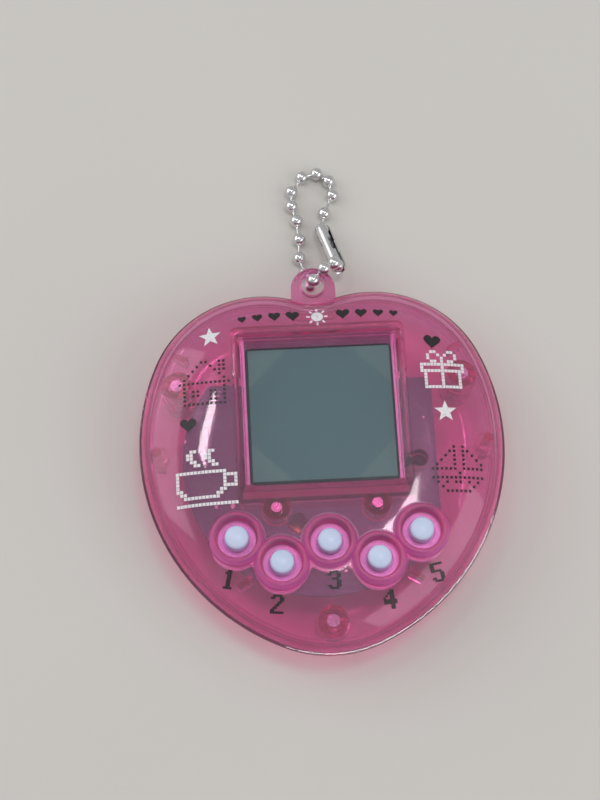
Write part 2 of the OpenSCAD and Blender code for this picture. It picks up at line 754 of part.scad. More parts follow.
front_shell();
rear_shell();
battery_door();
battery_door_screw();
case_screws();
board_screws();
display_window();
display_polariser();
display_front_glass();
display_rear_glass();
display_reflector();
display_foam();
zebra_strip();
main_board();
chip_blob();
crystal_can();
chip_components();
key_contacts();
keypad_sheet();
key_dome_1();
key_dome_2();
key_dome_3();
key_dome_4();
key_dome_5();
button_1();
button_2();
button_3();
button_4();
button_5();
buzzer_disc();
buzzer_ceramic();
buzzer_wires();
battery_cell_1();
battery_cell_2();
battery_bridge();
battery_contact_positive();
battery_contact_negative();
chain_hook_balls();
chain_hook_links();
chain_clasp();
chain_near_balls();
chain_near_links();
chain_middle_links();
chain_end_balls();
chain_end_links();
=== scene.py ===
"""Looks of a heart-shaped virtual pet keychain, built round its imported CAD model.

Shapes are worked out in millimetres and handed over in metres. The origin is the middle of
the flat rear face, X runs to the right of the display, Y towards the tab and Z out of it.
"""

import logging
import math
from dataclasses import dataclass, field
from enum import Enum
from functools import reduce
from typing import Any, Iterable, Sequence

import bmesh
import bpy
from mathutils import Matrix, Vector
from mathutils.bvhtree import BVHTree

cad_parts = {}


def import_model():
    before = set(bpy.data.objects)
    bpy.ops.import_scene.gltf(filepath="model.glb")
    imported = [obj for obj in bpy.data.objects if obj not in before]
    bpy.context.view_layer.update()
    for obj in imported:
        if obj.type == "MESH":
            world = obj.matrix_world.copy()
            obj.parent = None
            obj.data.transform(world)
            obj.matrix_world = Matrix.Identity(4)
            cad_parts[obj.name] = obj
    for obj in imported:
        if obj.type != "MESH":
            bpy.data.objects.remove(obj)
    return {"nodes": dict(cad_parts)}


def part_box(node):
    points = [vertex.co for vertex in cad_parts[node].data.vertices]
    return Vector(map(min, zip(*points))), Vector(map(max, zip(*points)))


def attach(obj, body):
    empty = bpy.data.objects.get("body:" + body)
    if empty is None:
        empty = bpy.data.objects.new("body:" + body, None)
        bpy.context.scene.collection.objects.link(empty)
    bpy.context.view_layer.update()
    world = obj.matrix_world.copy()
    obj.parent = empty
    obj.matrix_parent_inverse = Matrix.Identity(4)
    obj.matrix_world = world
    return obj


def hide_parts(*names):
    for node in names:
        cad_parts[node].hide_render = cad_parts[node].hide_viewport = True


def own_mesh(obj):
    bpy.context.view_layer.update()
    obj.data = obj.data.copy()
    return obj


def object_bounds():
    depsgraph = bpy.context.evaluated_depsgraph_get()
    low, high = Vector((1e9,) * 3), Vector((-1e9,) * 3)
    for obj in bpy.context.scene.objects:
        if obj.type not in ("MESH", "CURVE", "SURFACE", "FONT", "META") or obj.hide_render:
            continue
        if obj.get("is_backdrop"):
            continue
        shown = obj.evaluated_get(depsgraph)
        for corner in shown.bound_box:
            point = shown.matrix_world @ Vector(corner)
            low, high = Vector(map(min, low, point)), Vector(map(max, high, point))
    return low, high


MM = 0.001
LOG = logging.getLogger("pet_keychain")

Flat = tuple[float, float]
Place = tuple[float, float, float]
Colour = tuple[float, float, float]


# ---------------------------------------------------------------- shader building


class Value:
    """A shader socket whose Python sums add Math nodes to its material."""

    def __init__(self, tree: "Shader", socket: bpy.types.NodeSocket) -> None:
        """Wraps a socket of a material.

        Args:
            tree: The material's builder.
            socket: The output that carries the value.
        """
        self.tree = tree
        self.socket = socket

    def _sum(self, operation: str, *others: "Value | float", clamp: bool = False) -> "Value":
        """Adds a Math node.

        Args:
            operation: The Math node's operation.
            others: The values after this one.
            clamp: Whether the result stays between 0 and 1.

        Returns:
            The result.
        """
        settings = {"operation": operation, "use_clamp": clamp}
        values = {i: v for i, v in enumerate((self, *others))}
        return self.tree.value("ShaderNodeMath", settings, values)

    def __add__(self, other: "Value | float") -> "Value":
        """Sum."""
        return self._sum("ADD", other)

    __radd__ = __add__

    def __sub__(self, other: "Value | float") -> "Value":
        """Difference."""
        return self._sum("SUBTRACT", other)

    def __rsub__(self, other: float) -> "Value":
        """Difference from a number."""
        return self._sum("MULTIPLY", -1.0) + other

    def __mul__(self, other: "Value | float") -> "Value":
        """Product."""
        return self._sum("MULTIPLY", other)

    __rmul__ = __mul__

    def __truediv__(self, other: "Value | float") -> "Value":
        """Quotient."""
        return self._sum("DIVIDE", other)

    def __abs__(self) -> "Value":
        """Size without its sign."""
        return self._sum("ABSOLUTE")

    def above(self, limit: float, soft: float) -> "Value":
        """1 above a limit and 0 under it, with a soft step half a width to each side."""
        return ((self - limit) / soft + 0.5)._sum("ADD", 0.0, clamp=True)

    def below(self, limit: float, soft: float) -> "Value":
        """1 under a limit and 0 above it, with a soft step half a width to each side."""
        return ((limit - self) / soft + 0.5)._sum("ADD", 0.0, clamp=True)

    def least(self, other: "Value | float") -> "Value":
        """The smaller of two values."""
        return self._sum("MINIMUM", other)

    def most(self, other: "Value | float") -> "Value":
        """The larger of two values."""
        return self._sum("MAXIMUM", other)

    def wave(self, pitch: float) -> "Value":
        """Distance from the nearest whole multiple of a pitch."""
        return self._sum("PINGPONG", pitch / 2)


class Shader:
    """Builds one material from nodes."""

    def __init__(self, name: str) -> None:
        """Starts an empty node tree.

        Args:
            name: The material's name.
        """
        self.material = bpy.data.materials.new(name)
        self.material.use_nodes = True
        self.nodes = self.material.node_tree.nodes
        self.links = self.material.node_tree.links
        self.nodes.clear()

    def node(
        self,
        kind: str,
        settings: dict[str, Any] | None = None,
        inputs: dict[Any, Any] | None = None,
    ) -> bpy.types.Node:
        """Adds a node.

        Args:
            kind: The node's type.
            settings: Its own settings, set first.
            inputs: Values or links of its sockets, by name or place.

        Returns:
            The node.
        """
        made = self.nodes.new(kind)
        for key, setting in (settings or {}).items():
            setattr(made, key, setting)
        for key, given in (inputs or {}).items():
            socket = made.inputs[key]
            if isinstance(given, Value):
                self.links.new(given.socket, socket)
            elif isinstance(given, bpy.types.NodeSocket):
                self.links.new(given, socket)
            elif isinstance(given, tuple) and len(given) == 3 and socket.type == "RGBA":
                socket.default_value = (*given, 1.0)
            else:
                socket.default_value = given
        return made

    def value(
        self,
        kind: str,
        settings: dict[str, Any] | None = None,
        inputs: dict[Any, Any] | None = None,
        output: str | int = 0,
    ) -> Value:
        """Adds a node and wraps one of its outputs.

        Args:
            kind: The node's type.
            settings: Its own settings.
            inputs: Values or links of its sockets.
            output: The output to wrap.

        Returns:
            The wrapped output.
        """
        return Value(self, self.node(kind, settings, inputs).outputs[output])

    def place(self, centre: Place = (0.0, 0.0, 0.0), turn: float = 0.0) -> Value:
        """The object's own coordinates in millimetres.

        Args:
            centre: The point in millimetres that becomes the pattern's middle.
            turn: Degrees that the pattern is turned about Z.

        Returns:
            The vector.
        """
        coordinates = self.node("ShaderNodeTexCoord").outputs["Object"]
        scaled = self.node(
            "ShaderNodeVectorMath",
            {"operation": "MULTIPLY"},
            {0: coordinates, 1: (1 / MM, 1 / MM, 1 / MM)},
        ).outputs[0]
        inputs = {"Vector": scaled, "Location": centre, "Rotation": (0.0, 0.0, math.radians(turn))}
        return self.value("ShaderNodeMapping", {"vector_type": "TEXTURE"}, inputs)

    def axes(self, vector: Value) -> tuple[Value, Value, Value]:
        """The three parts of a vector."""
        split = self.node("ShaderNodeSeparateXYZ", None, {0: vector})
        return tuple(Value(self, split.outputs[i]) for i in range(3))

    def noise(self, vector: Value, size: float, detail: float = 2.0, spread: float = 0.5) -> Value:
        """Cloudy noise about 0.5.

        Args:
            vector: Where it is read.
            size: Size of its largest patches, in millimetres.
            detail: How many finer layers it has.
            spread: How strong the finer layers are.

        Returns:
            The noise.
        """
        inputs = {"Vector": vector, "Scale": 1 / size, "Detail": detail, "Roughness": spread}
        return self.value("ShaderNodeTexNoise", None, inputs, "Fac")

    def stretched(self, vector: Value, scale: Place) -> Value:
        """A vector with each part multiplied, for streaks."""
        return self.value("ShaderNodeVectorMath", {"operation": "MULTIPLY"}, {0: vector, 1: scale})

    def nearest(self, across: Value, along: Value, spots: Sequence[Flat]) -> Value:
        """Squared distance from the nearest of some spots, seen from above.

        Args:
            across: X of the place.
            along: Y of the place.
            spots: The spots.

        Returns:
            The squared distance.
        """
        squares = [(across - x) * (across - x) + (along - y) * (along - y) for x, y in spots]
        return reduce(Value.least, squares)

    def blend(self, share: Value, first: Value | Colour, second: Value | Colour) -> Value:
        """A mix of two colours.

        Args:
            share: How much of the second colour shows.
            first: The colour at 0.
            second: The colour at 1.

        Returns:
            The colour.
        """
        settings = {"data_type": "RGBA", "clamp_factor": True}
        return self.value("ShaderNodeMix", settings, {0: share, 6: first, 7: second}, 2)

    def relief(self, height: Value, depth: float) -> Value:
        """A normal from a height.

        Args:
            height: The height, from 0 to 1.
            depth: What 1 stands for, in millimetres.

        Returns:
            The normal.
        """
        inputs = {"Height": height, "Distance": depth * MM, "Strength": 1.0}
        return self.value("ShaderNodeBump", None, inputs, "Normal")

    def surface(self, **inputs: Any) -> bpy.types.NodeSocket:
        """A Principled shader; an underscore in a socket's name stands for a space."""
        named = {name.replace("_", " "): given for name, given in inputs.items()}
        return self.node("ShaderNodeBsdfPrincipled", None, named).outputs[0]

    def opaque(self, **inputs: Any) -> bpy.types.Material:
        """The finished material of an opaque surface with some Principled inputs."""
        return self.finish(self.surface(**inputs))

    def see_through(
        self, lamp_tint: Colour, volume: bpy.types.NodeSocket | None = None, **inputs: Any
    ) -> bpy.types.Material:
        """The finished material of a see-through surface that lets the lamps shine straight in.

        Args:
            lamp_tint: Colour that it gives to the lamps' light.
            volume: The volume shader.
            inputs: Some Principled inputs.

        Returns:
            The material.
        """
        base = self.surface(**inputs)
        lamps = self.node("ShaderNodeBsdfTransparent", None, {"Color": lamp_tint}).outputs[0]
        shadow = self.node("ShaderNodeLightPath").outputs["Is Shadow Ray"]
        mixed = self.node("ShaderNodeMixShader", None, {0: shadow, 1: base, 2: lamps})
        return self.finish(mixed.outputs[0], volume)

    def finish(
        self, surface: bpy.types.NodeSocket, volume: bpy.types.NodeSocket | None = None
    ) -> bpy.types.Material:
        """Joins the shaders to the output.

        Args:
            surface: The surface shader.
            volume: The volume shader.

        Returns:
            The material.
        """
        output = self.node("ShaderNodeOutputMaterial", None, {"Surface": surface})
        if volume is not None:
            self.links.new(volume, output.inputs["Volume"])
        return self.material


# ---------------------------------------------------------------- finishes

ACRYLIC_IOR = 1.49


@dataclass(frozen=True)
class Finish:
    """An opaque finish with mottled colour, uneven gloss and a fine relief.

    Attributes:
        name: The material's name.
        colour: Its main colour.
        second: The colour of its patches.
        patch: Size of the patches in millimetres.
        roughness: Its mean roughness.
        uneven: How far the roughness swings.
        metallic: 1 for metal.
        grain: Size of the relief in millimetres.
        depth: Depth of the relief in millimetres.
    """

    name: str
    colour: Colour
    second: Colour
    patch: float = 2.0
    roughness: float = 0.45
    uneven: float = 0.15
    metallic: float = 0.0
    grain: float = 0.15
    depth: float = 0.004

    def build(self) -> bpy.types.Material:
        """Makes the material.

        Returns:
            The material.
        """
        shader = Shader(self.name)
        place = shader.place()
        patches = shader.noise(place, self.patch, 3.0).above(0.5, 0.35)
        smudges = shader.noise(place, self.patch * 2.7, 4.0, 0.6)
        return shader.opaque(
            Base_Color=shader.blend(patches, self.colour, self.second),
            Roughness=smudges * (2 * self.uneven) + (self.roughness - self.uneven),
            Metallic=self.metallic,
            Normal=shader.relief(shader.noise(place, self.grain, 2.0), self.depth),
        )


@dataclass(frozen=True)
class TintedPlastic:
    """See-through moulded plastic that deepens in colour with its thickness.

    Attributes:
        name: The material's name.
        tint: Colour that each surface gives to what is seen through it.
        lamp_tint: The same for light from the lamps.
        volume_colour: Colour of the absorption.
        density: Its density per metre.
        clear: Share of light that passes rather than scatters.
        roughness: Roughness of its surface.
        collar_tint: Deeper tint of the thick frosted collars around the buttons.
        collar_haze: Roughness that the collars have on top of the surface's own.
        collar_reach: Distance from a button's middle to which its collar reaches.
        collar_foot: Height above which the collars are frosted.
    """

    name: str
    tint: Colour = (0.89, 0.54, 0.765)
    lamp_tint: Colour = (0.95, 0.84, 0.90)
    volume_colour: Colour = (0.88, 0.11, 0.53)
    density: float = 260.0
    clear: float = 0.91
    roughness: float = 0.05
    collar_tint: Colour = (0.93, 0.36, 0.70)
    collar_haze: float = 0.34
    collar_reach: float = 4.95
    collar_foot: float = 13.2

    def build(self) -> bpy.types.Material:
        """Makes the material.

        Returns:
            The material.
        """
        shader = Shader(self.name)
        place = shader.place()
        flow = shader.noise(place, 9.0, 3.0, 0.55)
        x, y, z = shader.axes(place)
        round_buttons = shader.nearest(x, y, BUTTONS).below(self.collar_reach**2, 1.6)
        collar = round_buttons * z.above(self.collar_foot, 0.3)
        scuffs = shader.noise(shader.stretched(place, (1.0, 0.12, 1.0)), 0.5, 2.0).above(0.66, 0.12)
        paler = tuple(1 - 0.55 * (1 - c) for c in self.tint)
        clouded = shader.blend(flow.above(0.56, 0.3) * 0.6, self.tint, paler)
        haze = flow * 0.05 + scuffs * 0.05 + collar * self.collar_haze
        absorption = {"Color": self.volume_colour, "Density": self.density}
        return shader.see_through(
            self.lamp_tint,
            shader.node("ShaderNodeVolumeAbsorption", None, absorption).outputs[0],
            Base_Color=shader.blend(collar * 0.8, clouded, self.collar_tint),
            Roughness=haze + (self.roughness - 0.025),
            IOR=ACRYLIC_IOR,
            Transmission_Weight=self.clear,
            Normal=shader.relief(shader.noise(place, 2.4, 2.0), 0.012),
        )


@dataclass(frozen=True)
class ClearPane:
    """Clear acrylic with faint wiping marks.

    Attributes:
        name: The material's name.
        tint: Colour that it gives to what is seen through it and to the lamps' light.
        middle: Where the wiping marks are centred.
        slant: Degrees that they are turned.
    """

    name: str = "clear_acrylic"
    tint: Colour = (0.96, 0.98, 0.98)
    middle: Place = (0.0, 8.8, 0.0)
    slant: float = 24.0

    def build(self) -> bpy.types.Material:
        """Makes the material.

        Returns:
            The material.
        """
        shader = Shader(self.name)
        place = shader.place(self.middle, self.slant)
        wipes = shader.noise(shader.stretched(place, (0.08, 1.0, 1.0)), 1.2, 3.0)
        return shader.see_through(
            self.tint,
            Base_Color=shader.blend(wipes, self.tint, (1.0, 1.0, 1.0)),
            Roughness=wipes * 0.03 + 0.005,
            IOR=ACRYLIC_IOR,
            Transmission_Weight=1.0,
            Normal=shader.relief(wipes, 0.001),
        )


@dataclass(frozen=True)
class LiquidCrystal:
    """Grey-green display sheet with a faint diamond, fine cells and a dark border line.

    Attributes:
        name: The material's name.
        centre: Middle of the visible field.
        half: Half the field's width and length, to its border line.
        reach: Sum of the distances from the middle at which the diamond ends.
        cell: Distance between the lines of the cells.
        middle: Colour of the diamond.
        corners: Colour outside the diamond.
        paler: Colour of the cells' lines and of faint clouds.
        border: Colour of the border line.
    """

    name: str = "liquid_crystal"
    centre: Flat = (0.1, 9.1)
    half: Flat = (12.4, 11.95)
    reach: float = 17.4
    cell: float = 0.62
    middle: Colour = (0.041, 0.084, 0.098)
    corners: Colour = (0.060, 0.104, 0.113)
    paler: Colour = (0.08, 0.13, 0.135)
    border: Colour = (0.006, 0.007, 0.016)

    def build(self) -> bpy.types.Material:
        """Makes the material.

        Returns:
            The material.
        """
        shader = Shader(self.name)
        place = shader.place((*self.centre, 0.0))
        x, y, _ = shader.axes(place)
        across, along = abs(x), abs(y)
        outside = (across + along).above(self.reach, 0.9)
        lines = [distance.wave(self.cell).below(0.03, 0.04) for distance in (across, along)]
        cells = lines[0].most(lines[1])
        cloud = shader.noise(place, 7.0, 2.0)
        shade = shader.blend(outside, self.middle, self.corners)
        shade = shader.blend(cells * 0.06 + cloud.above(0.55, 0.5) * 0.10, shade, self.paler)
        edge = (across - self.half[0]).most(along - self.half[1]).above(0.0, 0.08)
        return shader.opaque(
            Base_Color=shader.blend(edge, shade, self.border),
            Roughness=cloud * 0.1 + 0.32,
            Specular_IOR_Level=0.15,
            Normal=shader.relief(shader.noise(place, 0.2, 1.0), 0.001),
        )


@dataclass(frozen=True)
class PaintedLightEdge:
    """Glass whose edges show round the display with painted light and shade: painted shade along
    the upper edge and painted highlights on the two sides.

    Attributes:
        name: The material's name.
        upper: Colour of the upper edge, a painted shade.
        sides: Colour of the two sides, a painted highlight.
        lower: Colour of the lower ledge.
        film: Colour of the uneven film over all of it.
        side_x: Distance from the middle at which the sides begin.
        ledge_y: Y of the upper end of the ledge.
    """

    name: str = "glass_edge_painted_light"
    upper: Colour = (0.020, 0.010, 0.028)
    sides: Colour = (0.78, 0.44, 0.66)
    lower: Colour = (0.22, 0.03, 0.09)
    film: Colour = (0.12, 0.02, 0.05)
    side_x: float = 13.0
    ledge_y: float = -3.6

    def build(self) -> bpy.types.Material:
        """Makes the material.

        Returns:
            The material.
        """
        shader = Shader(self.name)
        place = shader.place()
        x, y, _ = shader.axes(place)
        uneven = shader.noise(place, 0.8, 3.0)
        # Painted light and shade: the dark upper edge is painted shade, the bright pink sides are
        # painted highlights.
        shade = shader.blend(abs(x).above(self.side_x, 0.1), self.upper, self.sides)
        shade = shader.blend(y.below(self.ledge_y, 0.3), shade, self.lower)
        return shader.opaque(
            Base_Color=shader.blend(uneven * 0.3, shade, self.film),
            Roughness=uneven * 0.1 + 0.12,
            Normal=shader.relief(uneven, 0.002),
        )


@dataclass(frozen=True)
class Laminate:
    """Circuit board with solder mask over copper runs and bare pads, with a painted crimson shade
    round the two screwed posts.

    Attributes:
        name: The material's name.
        mask: Colour of the solder mask.
        run: Colour of the mask where copper lies under it.
        pad: Colour of the bare pads.
        weave: Colour of the glass cloth that shows through.
        post_painted_shade: Crimson round the two screwed posts, a painted shade that stands in for
            light seen through their thick plastic.
        painted_shade_radius: Radius of that painted shade.
        pitch: Distance between the copper runs.
    """

    name: str = "board_laminate"
    mask: Colour = (0.018, 0.034, 0.060)
    run: Colour = (0.032, 0.052, 0.080)
    pad: Colour = (0.62, 0.60, 0.56)
    weave: Colour = (0.42, 0.44, 0.46)
    post_painted_shade: Colour = (0.42, 0.015, 0.09)
    painted_shade_radius: float = 2.5
    pitch: float = 1.3

    def build(self) -> bpy.types.Material:
        """Makes the material.

        Returns:
            The material.
        """
        shader = Shader(self.name)
        place = shader.place()
        x, y, _ = shader.axes(place)
        slanted, _, _ = shader.axes(shader.place((3.0, 2.0, 0.0), 45.0))
        areas = shader.noise(place, 7.0, 0.0).above(0.5, 0.03)
        straight, angled = (line.wave(self.pitch).below(0.22, 0.05) for line in (y, slanted))
        runs = areas * straight + (1 - areas) * angled
        settings, cells = {"distance": "EUCLIDEAN"}, {"Vector": place, "Scale": 0.24}
        distance = shader.value("ShaderNodeTexVoronoi", settings, cells, "Distance")
        spots = distance.below(0.10, 0.02)
        cloth = shader.noise(place, 0.35, 2.0)
        # Painted shade: crimson round the screwed posts stands in for light seen through their
        # thick plastic.
        painted_shade_spots = shader.nearest(x, y, POSTS).below(self.painted_shade_radius**2, 1.0)
        colour = shader.blend(runs, self.mask, self.run)
        colour = shader.blend(spots, colour, self.pad)
        colour = shader.blend(cloth * 0.06, colour, self.weave)
        return shader.opaque(
            Base_Color=shader.blend(painted_shade_spots, colour, self.post_painted_shade),
            Roughness=0.42 - runs * 0.08 - spots * 0.1,
            Metallic=spots * 0.9,
            Normal=shader.relief(runs * 0.6 + spots * 0.8 + cloth * 0.15, 0.03),
        )


@dataclass(frozen=True)
class Ink:
    """Screen-printed ink with a slightly uneven film.

    Attributes:
        name: The material's name.
        colour: Its colour.
        thin: Its colour where the film is thin.
    """

    name: str
    colour: Colour
    thin: Colour

    def build(self) -> bpy.types.Material:
        """Makes the material.

        Returns:
            The material.
        """
        shader = Shader(self.name)
        place = shader.place()
        film = shader.noise(place, 0.5, 3.0, 0.6)
        return shader.opaque(
            Base_Color=shader.blend(film.above(0.6, 0.25), self.colour, self.thin),
            Roughness=film * 0.2 + 0.3,
            Normal=shader.relief(shader.noise(place, 0.12, 2.0), 0.006),
        )


@dataclass(frozen=True)
class Plated:
    """Bright plated steel with fine rubbing marks and dull specks.

    Attributes:
        name: The material's name.
        colour: Its colour.
        dull: Colour of the specks.
        roughness: Its mean roughness.
        direction: How much the rubbing marks are drawn out along each axis.
    """

    name: str
    colour: Colour = (0.74, 0.74, 0.75)
    dull: Colour = (0.46, 0.45, 0.44)
    roughness: float = 0.13
    direction: Place = (1.0, 0.15, 1.0)

    def build(self) -> bpy.types.Material:
        """Makes the material.

        Returns:
            The material.
        """
        shader = Shader(self.name)
        place = shader.place()
        rubbed = shader.noise(shader.stretched(place, self.direction), 0.25, 3.0, 0.6)
        specks = shader.noise(place, 0.8, 4.0, 0.6).above(0.66, 0.1)
        worn = specks * 0.5 + rubbed.above(0.62, 0.2) * 0.2
        return shader.opaque(
            Base_Color=shader.blend(worn, self.colour, self.dull),
            Roughness=rubbed * 0.12 + specks * 0.12 + (self.roughness - 0.05),
            Metallic=1.0,
            Normal=shader.relief(rubbed, 0.003),
        )


# ---------------------------------------------------------------- shaping


class How(Enum):
    """How a second solid changes the first."""

    JOIN = "UNION"
    REMOVE = "DIFFERENCE"
    KEEP = "INTERSECT"


class Solid:
    """A closed shape in millimetres, made with mesh operators."""

    def __init__(self) -> None:
        """Starts with nothing."""
        self.bm = bmesh.new()

    @classmethod
    def turned(cls, profile: Sequence[Flat], at: Flat = (0.0, 0.0), steps: int = 48) -> "Solid":
        """A profile turned once about an upright axis.

        Args:
            profile: Distance from the axis and height of each corner. One that starts and
                ends on the axis is solid, and one that ends where it starts is a ring.
            at: Where the axis stands.
            steps: Faces round the turn.

        Returns:
            The solid.
        """
        solid = cls()
        bmesh.ops.spin(
            solid.bm,
            geom=solid.drawn([(r, 0.0, z) for r, z in profile]),
            cent=(0, 0, 0),
            axis=(0, 0, 1),
            angle=math.tau,
            steps=steps,
            use_merge=True,
        )
        return solid.merged(1e-4).shifted((*at, 0.0)).outward()

    @classmethod
    def post(
        cls,
        at: Flat,
        radius: float,
        low: float,
        high: float,
        steps: int = 32,
        round_off: float = 0.0,
    ) -> "Solid":
        """An upright cylinder.

        Args:
            at: Where its axis stands.
            radius: Its radius.
            low: Height of its lower end.
            high: Height of its upper end.
            steps: Faces round it.
            round_off: Radius of a small round at both ends.

        Returns:
            The cylinder.
        """
        nook = [(0.0, 0.0)]
        if round_off:
            nook = [(round_off, 0.0), (0.3 * round_off, 0.3 * round_off), (0.0, round_off)]
        lower = [(radius - inwards, low + up) for inwards, up in nook]
        upper = [(radius - inwards, high - down) for inwards, down in reversed(nook)]
        return cls.turned([(0.0, low), *lower, *upper, (0.0, high)], at, steps)

    @classmethod
    def block(
        cls,
        size: Flat,
        low: float,
        high: float,
        at: Flat = (0.0, 0.0),
        corner: float = 0.0,
        edge: float = 0.0,
        grow: float = 0.0,
        turn: float = 0.0,
    ) -> "Solid":
        """A box with upright corners rounded.

        Args:
            size: Width and length.
            low: Height of its lower face.
            high: Height of its upper face.
            at: Its middle.
            corner: Radius of its upright corners.
            edge: Radius of all its edges.
            grow: How much wider each side of the upper face is than the lower one's.
            turn: Degrees it is turned about Z.

        Returns:
            The solid.
        """
        solid = cls()
        bm = solid.bm
        bmesh.ops.create_cube(bm, size=1.0)
        bmesh.ops.scale(bm, vec=(*size, high - low), verts=bm.verts[:])
        if corner:
            upright = [e for e in bm.edges if abs((e.verts[0].co - e.verts[1].co).z) > 1e-6]
            solid.rounded(upright, corner, 6)
        if edge:
            solid.rounded([e for e in bm.edges if e.calc_face_angle(0.0) > 0.7], edge, 2)
        if grow:
            upper = [v for v in bm.verts if v.co.z > 0]
            factors = (1 + 2 * grow / size[0], 1 + 2 * grow / size[1], 1.0)
            bmesh.ops.scale(bm, vec=factors, verts=upper)
        return solid.rotated(turn).shifted((*at, (low + high) / 2)).outward()

    @classmethod
    def stadium(cls, spread: float, radius: float, low: float, high: float, at: Flat) -> "Solid":
        """A prism whose outline runs round two circles side by side.

        Args:
            spread: Distance of each circle from the middle.
            radius: The circles' radius.
            low: Height of its lower face.
            high: Height of its upper face.
            at: Its middle.

        Returns:
            The solid.
        """
        steps = 64
        solid = cls.post((0.0, 0.0), radius, low, high, steps).rotated(180 / steps)
        caps = [v for v in solid.bm.verts if abs(v.co.x) < 1e-6 and abs(v.co.y) < 1e-6]
        bmesh.ops.dissolve_verts(solid.bm, verts=caps)
        for side in (-1, 1):
            half = [v for v in solid.bm.verts if v.co.x * side > 0]
            bmesh.ops.translate(solid.bm, vec=(side * spread, 0, 0), verts=half)
        return solid.shifted((*at, 0.0)).outward()

    @classmethod
    def united(cls, solids: Iterable["Solid"]) -> "Solid":
        """Joins solids that may overlap each other into one."""
        first, *rest = solids
        return first.changed(How.JOIN, cls().with_all(rest), True) if rest else first

    def drawn(self, corners: Sequence[Place]) -> list[Any]:
        """Draws a line, which is closed where it ends at its own start.

        Args:
            corners: Its corners.

        Returns:
            Its vertices and edges.
        """
        closed = corners[0] == corners[-1]
        line = [self.bm.verts.new(corner) for corner in (corners[:-1] if closed else corners)]
        ends = line[1:] + line[:1] if closed else line[1:]
        return line + [self.bm.edges.new(pair) for pair in zip(line, ends)]

    def merged(self, reach: float) -> "Solid":
        """Merges vertices that lie within reach of each other."""
        bmesh.ops.remove_doubles(self.bm, verts=self.bm.verts[:], dist=reach)
        return self

    def shifted(self, by: Place) -> "Solid":
        """Shifts the whole solid."""
        bmesh.ops.translate(self.bm, vec=by, verts=self.bm.verts[:])
        return self

    def rotated(self, degrees: float) -> "Solid":
        """Turns the whole solid about Z.

        Args:
            degrees: How far it turns.

        Returns:
            This solid.
        """
        turn = Matrix.Rotation(math.radians(degrees), 3, "Z")
        bmesh.ops.rotate(self.bm, matrix=turn, verts=self.bm.verts[:])
        return self

    def levelled(self) -> "Solid":
        """Takes out the edges between faces that lie in one plane.

        Returns:
            This solid.
        """
        limit = math.radians(1.0)
        bmesh.ops.dissolve_limit(
            self.bm, angle_limit=limit, verts=self.bm.verts[:], edges=self.bm.edges[:]
        )
        return self

    def rounded(self, edges: Iterable[bmesh.types.BMEdge], radius: float, segments: int) -> "Solid":
        """Rounds some edges."""
        bmesh.ops.bevel(
            self.bm,
            geom=list(edges),
            offset=radius,
            segments=segments,
            profile=0.5,
            affect="EDGES",
            material=-1,
            clamp_overlap=True,
        )
        return self

    def outward(self) -> "Solid":
        """Turns all faces outwards."""
        bmesh.ops.recalc_face_normals(self.bm, faces=self.bm.faces[:])
        return self

    def moved(self, matrix: Matrix) -> "Solid":
        """Moves and turns the whole solid."""
        bmesh.ops.transform(self.bm, matrix=matrix, verts=self.bm.verts[:])
        return self

    def with_all(self, others: Iterable["Solid"]) -> "Solid":
        """Adds other solids as they are, with no joining of faces."""
        for other in others:
            mesh = bpy.data.meshes.new("part")
            other.bm.to_mesh(mesh)
            self.bm.from_mesh(mesh)
            bpy.data.meshes.remove(mesh)
            other.bm.free()
        return self

    def shown(self, name: str) -> bpy.types.Object:
        """Puts a copy of the mesh into the scene.

        Args:
            name: The copy's name.

        Returns:
            The copy.
        """
        mesh = bpy.data.meshes.new(name)
        self.bm.to_mesh(mesh)
        shown = bpy.data.objects.new(name, mesh)
        bpy.context.scene.collection.objects.link(shown)
        return shown

    def changed(self, how: How, other: "Solid", crossing: bool = False) -> "Solid":
        """Joins, removes or keeps what another solid covers.

        Args:
            how: What the other solid does.
            other: The other solid.
            crossing: Whether it has faces that cross each other.

        Returns:
            This solid, changed.
        """
        base, tool = self.shown("base"), other.shown("tool")
        modifier = base.modifiers.new("cut", "BOOLEAN")
        modifier.operation = how.value
        modifier.object = tool
        modifier.solver = "EXACT"
        modifier.use_self = crossing
        graph = bpy.context.evaluated_depsgraph_get()
        mesh = bpy.data.meshes.new_from_object(base.evaluated_get(graph))
        self.bm.clear()
        self.bm.from_mesh(mesh)
        other.bm.free()
        for scrap in (base.data, tool.data, mesh):
            bpy.data.meshes.remove(scrap)
        return self.merged(1e-4)

    def combined(self, how: How, others: Iterable["Solid"]) -> "Solid":
        """Joins, removes or keeps what several solids cover, which may overlap each other."""
        return self.changed(how, Solid.united(others))

    def piece(
        self,
        name: str,
        body: str,
        finish: bpy.types.Material,
        slot: str | None = None,
        replaces: Sequence[str] = (),
        sharp: float = 32.0,
    ) -> bpy.types.Object:
        """Hands the solid over as a piece of the object, in metres.

        Args:
            name: The piece's name.
            body: The CAD body that it rides on.
            finish: Its material.
            slot: Not used.
            replaces: CAD nodes that it stands for.
            sharp: Angle in degrees from which an edge shows as one.

        Returns:
            The piece.
        """
        bmesh.ops.scale(self.bm, vec=(MM, MM, MM), verts=self.bm.verts[:])
        for face in self.bm.faces:
            face.smooth = True
        for edge in self.bm.edges:
            edge.smooth = edge.calc_face_angle(0.0) < math.radians(sharp)
        shown = self.shown(name)
        shown.data.materials.append(finish)
        shown.modifiers.new("even_shading", "WEIGHTED_NORMAL").keep_sharp = True
        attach(shown, body)
        if replaces:
            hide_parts(*replaces)
        LOG.info("%s: %d faces on body %s", name, len(self.bm.faces), body)
        self.bm.free()
        return shown


def arc(centre: Flat, radius: float, start: float, end: float, steps: int) -> list[Flat]:
    """Points of an arc in a profile, both ends included, with angles in degrees."""
    angles = [math.radians(start + (end - start) * i / steps) for i in range(steps + 1)]
    return [(centre[0] + radius * math.cos(a), centre[1] + radius * math.sin(a)) for a in angles]


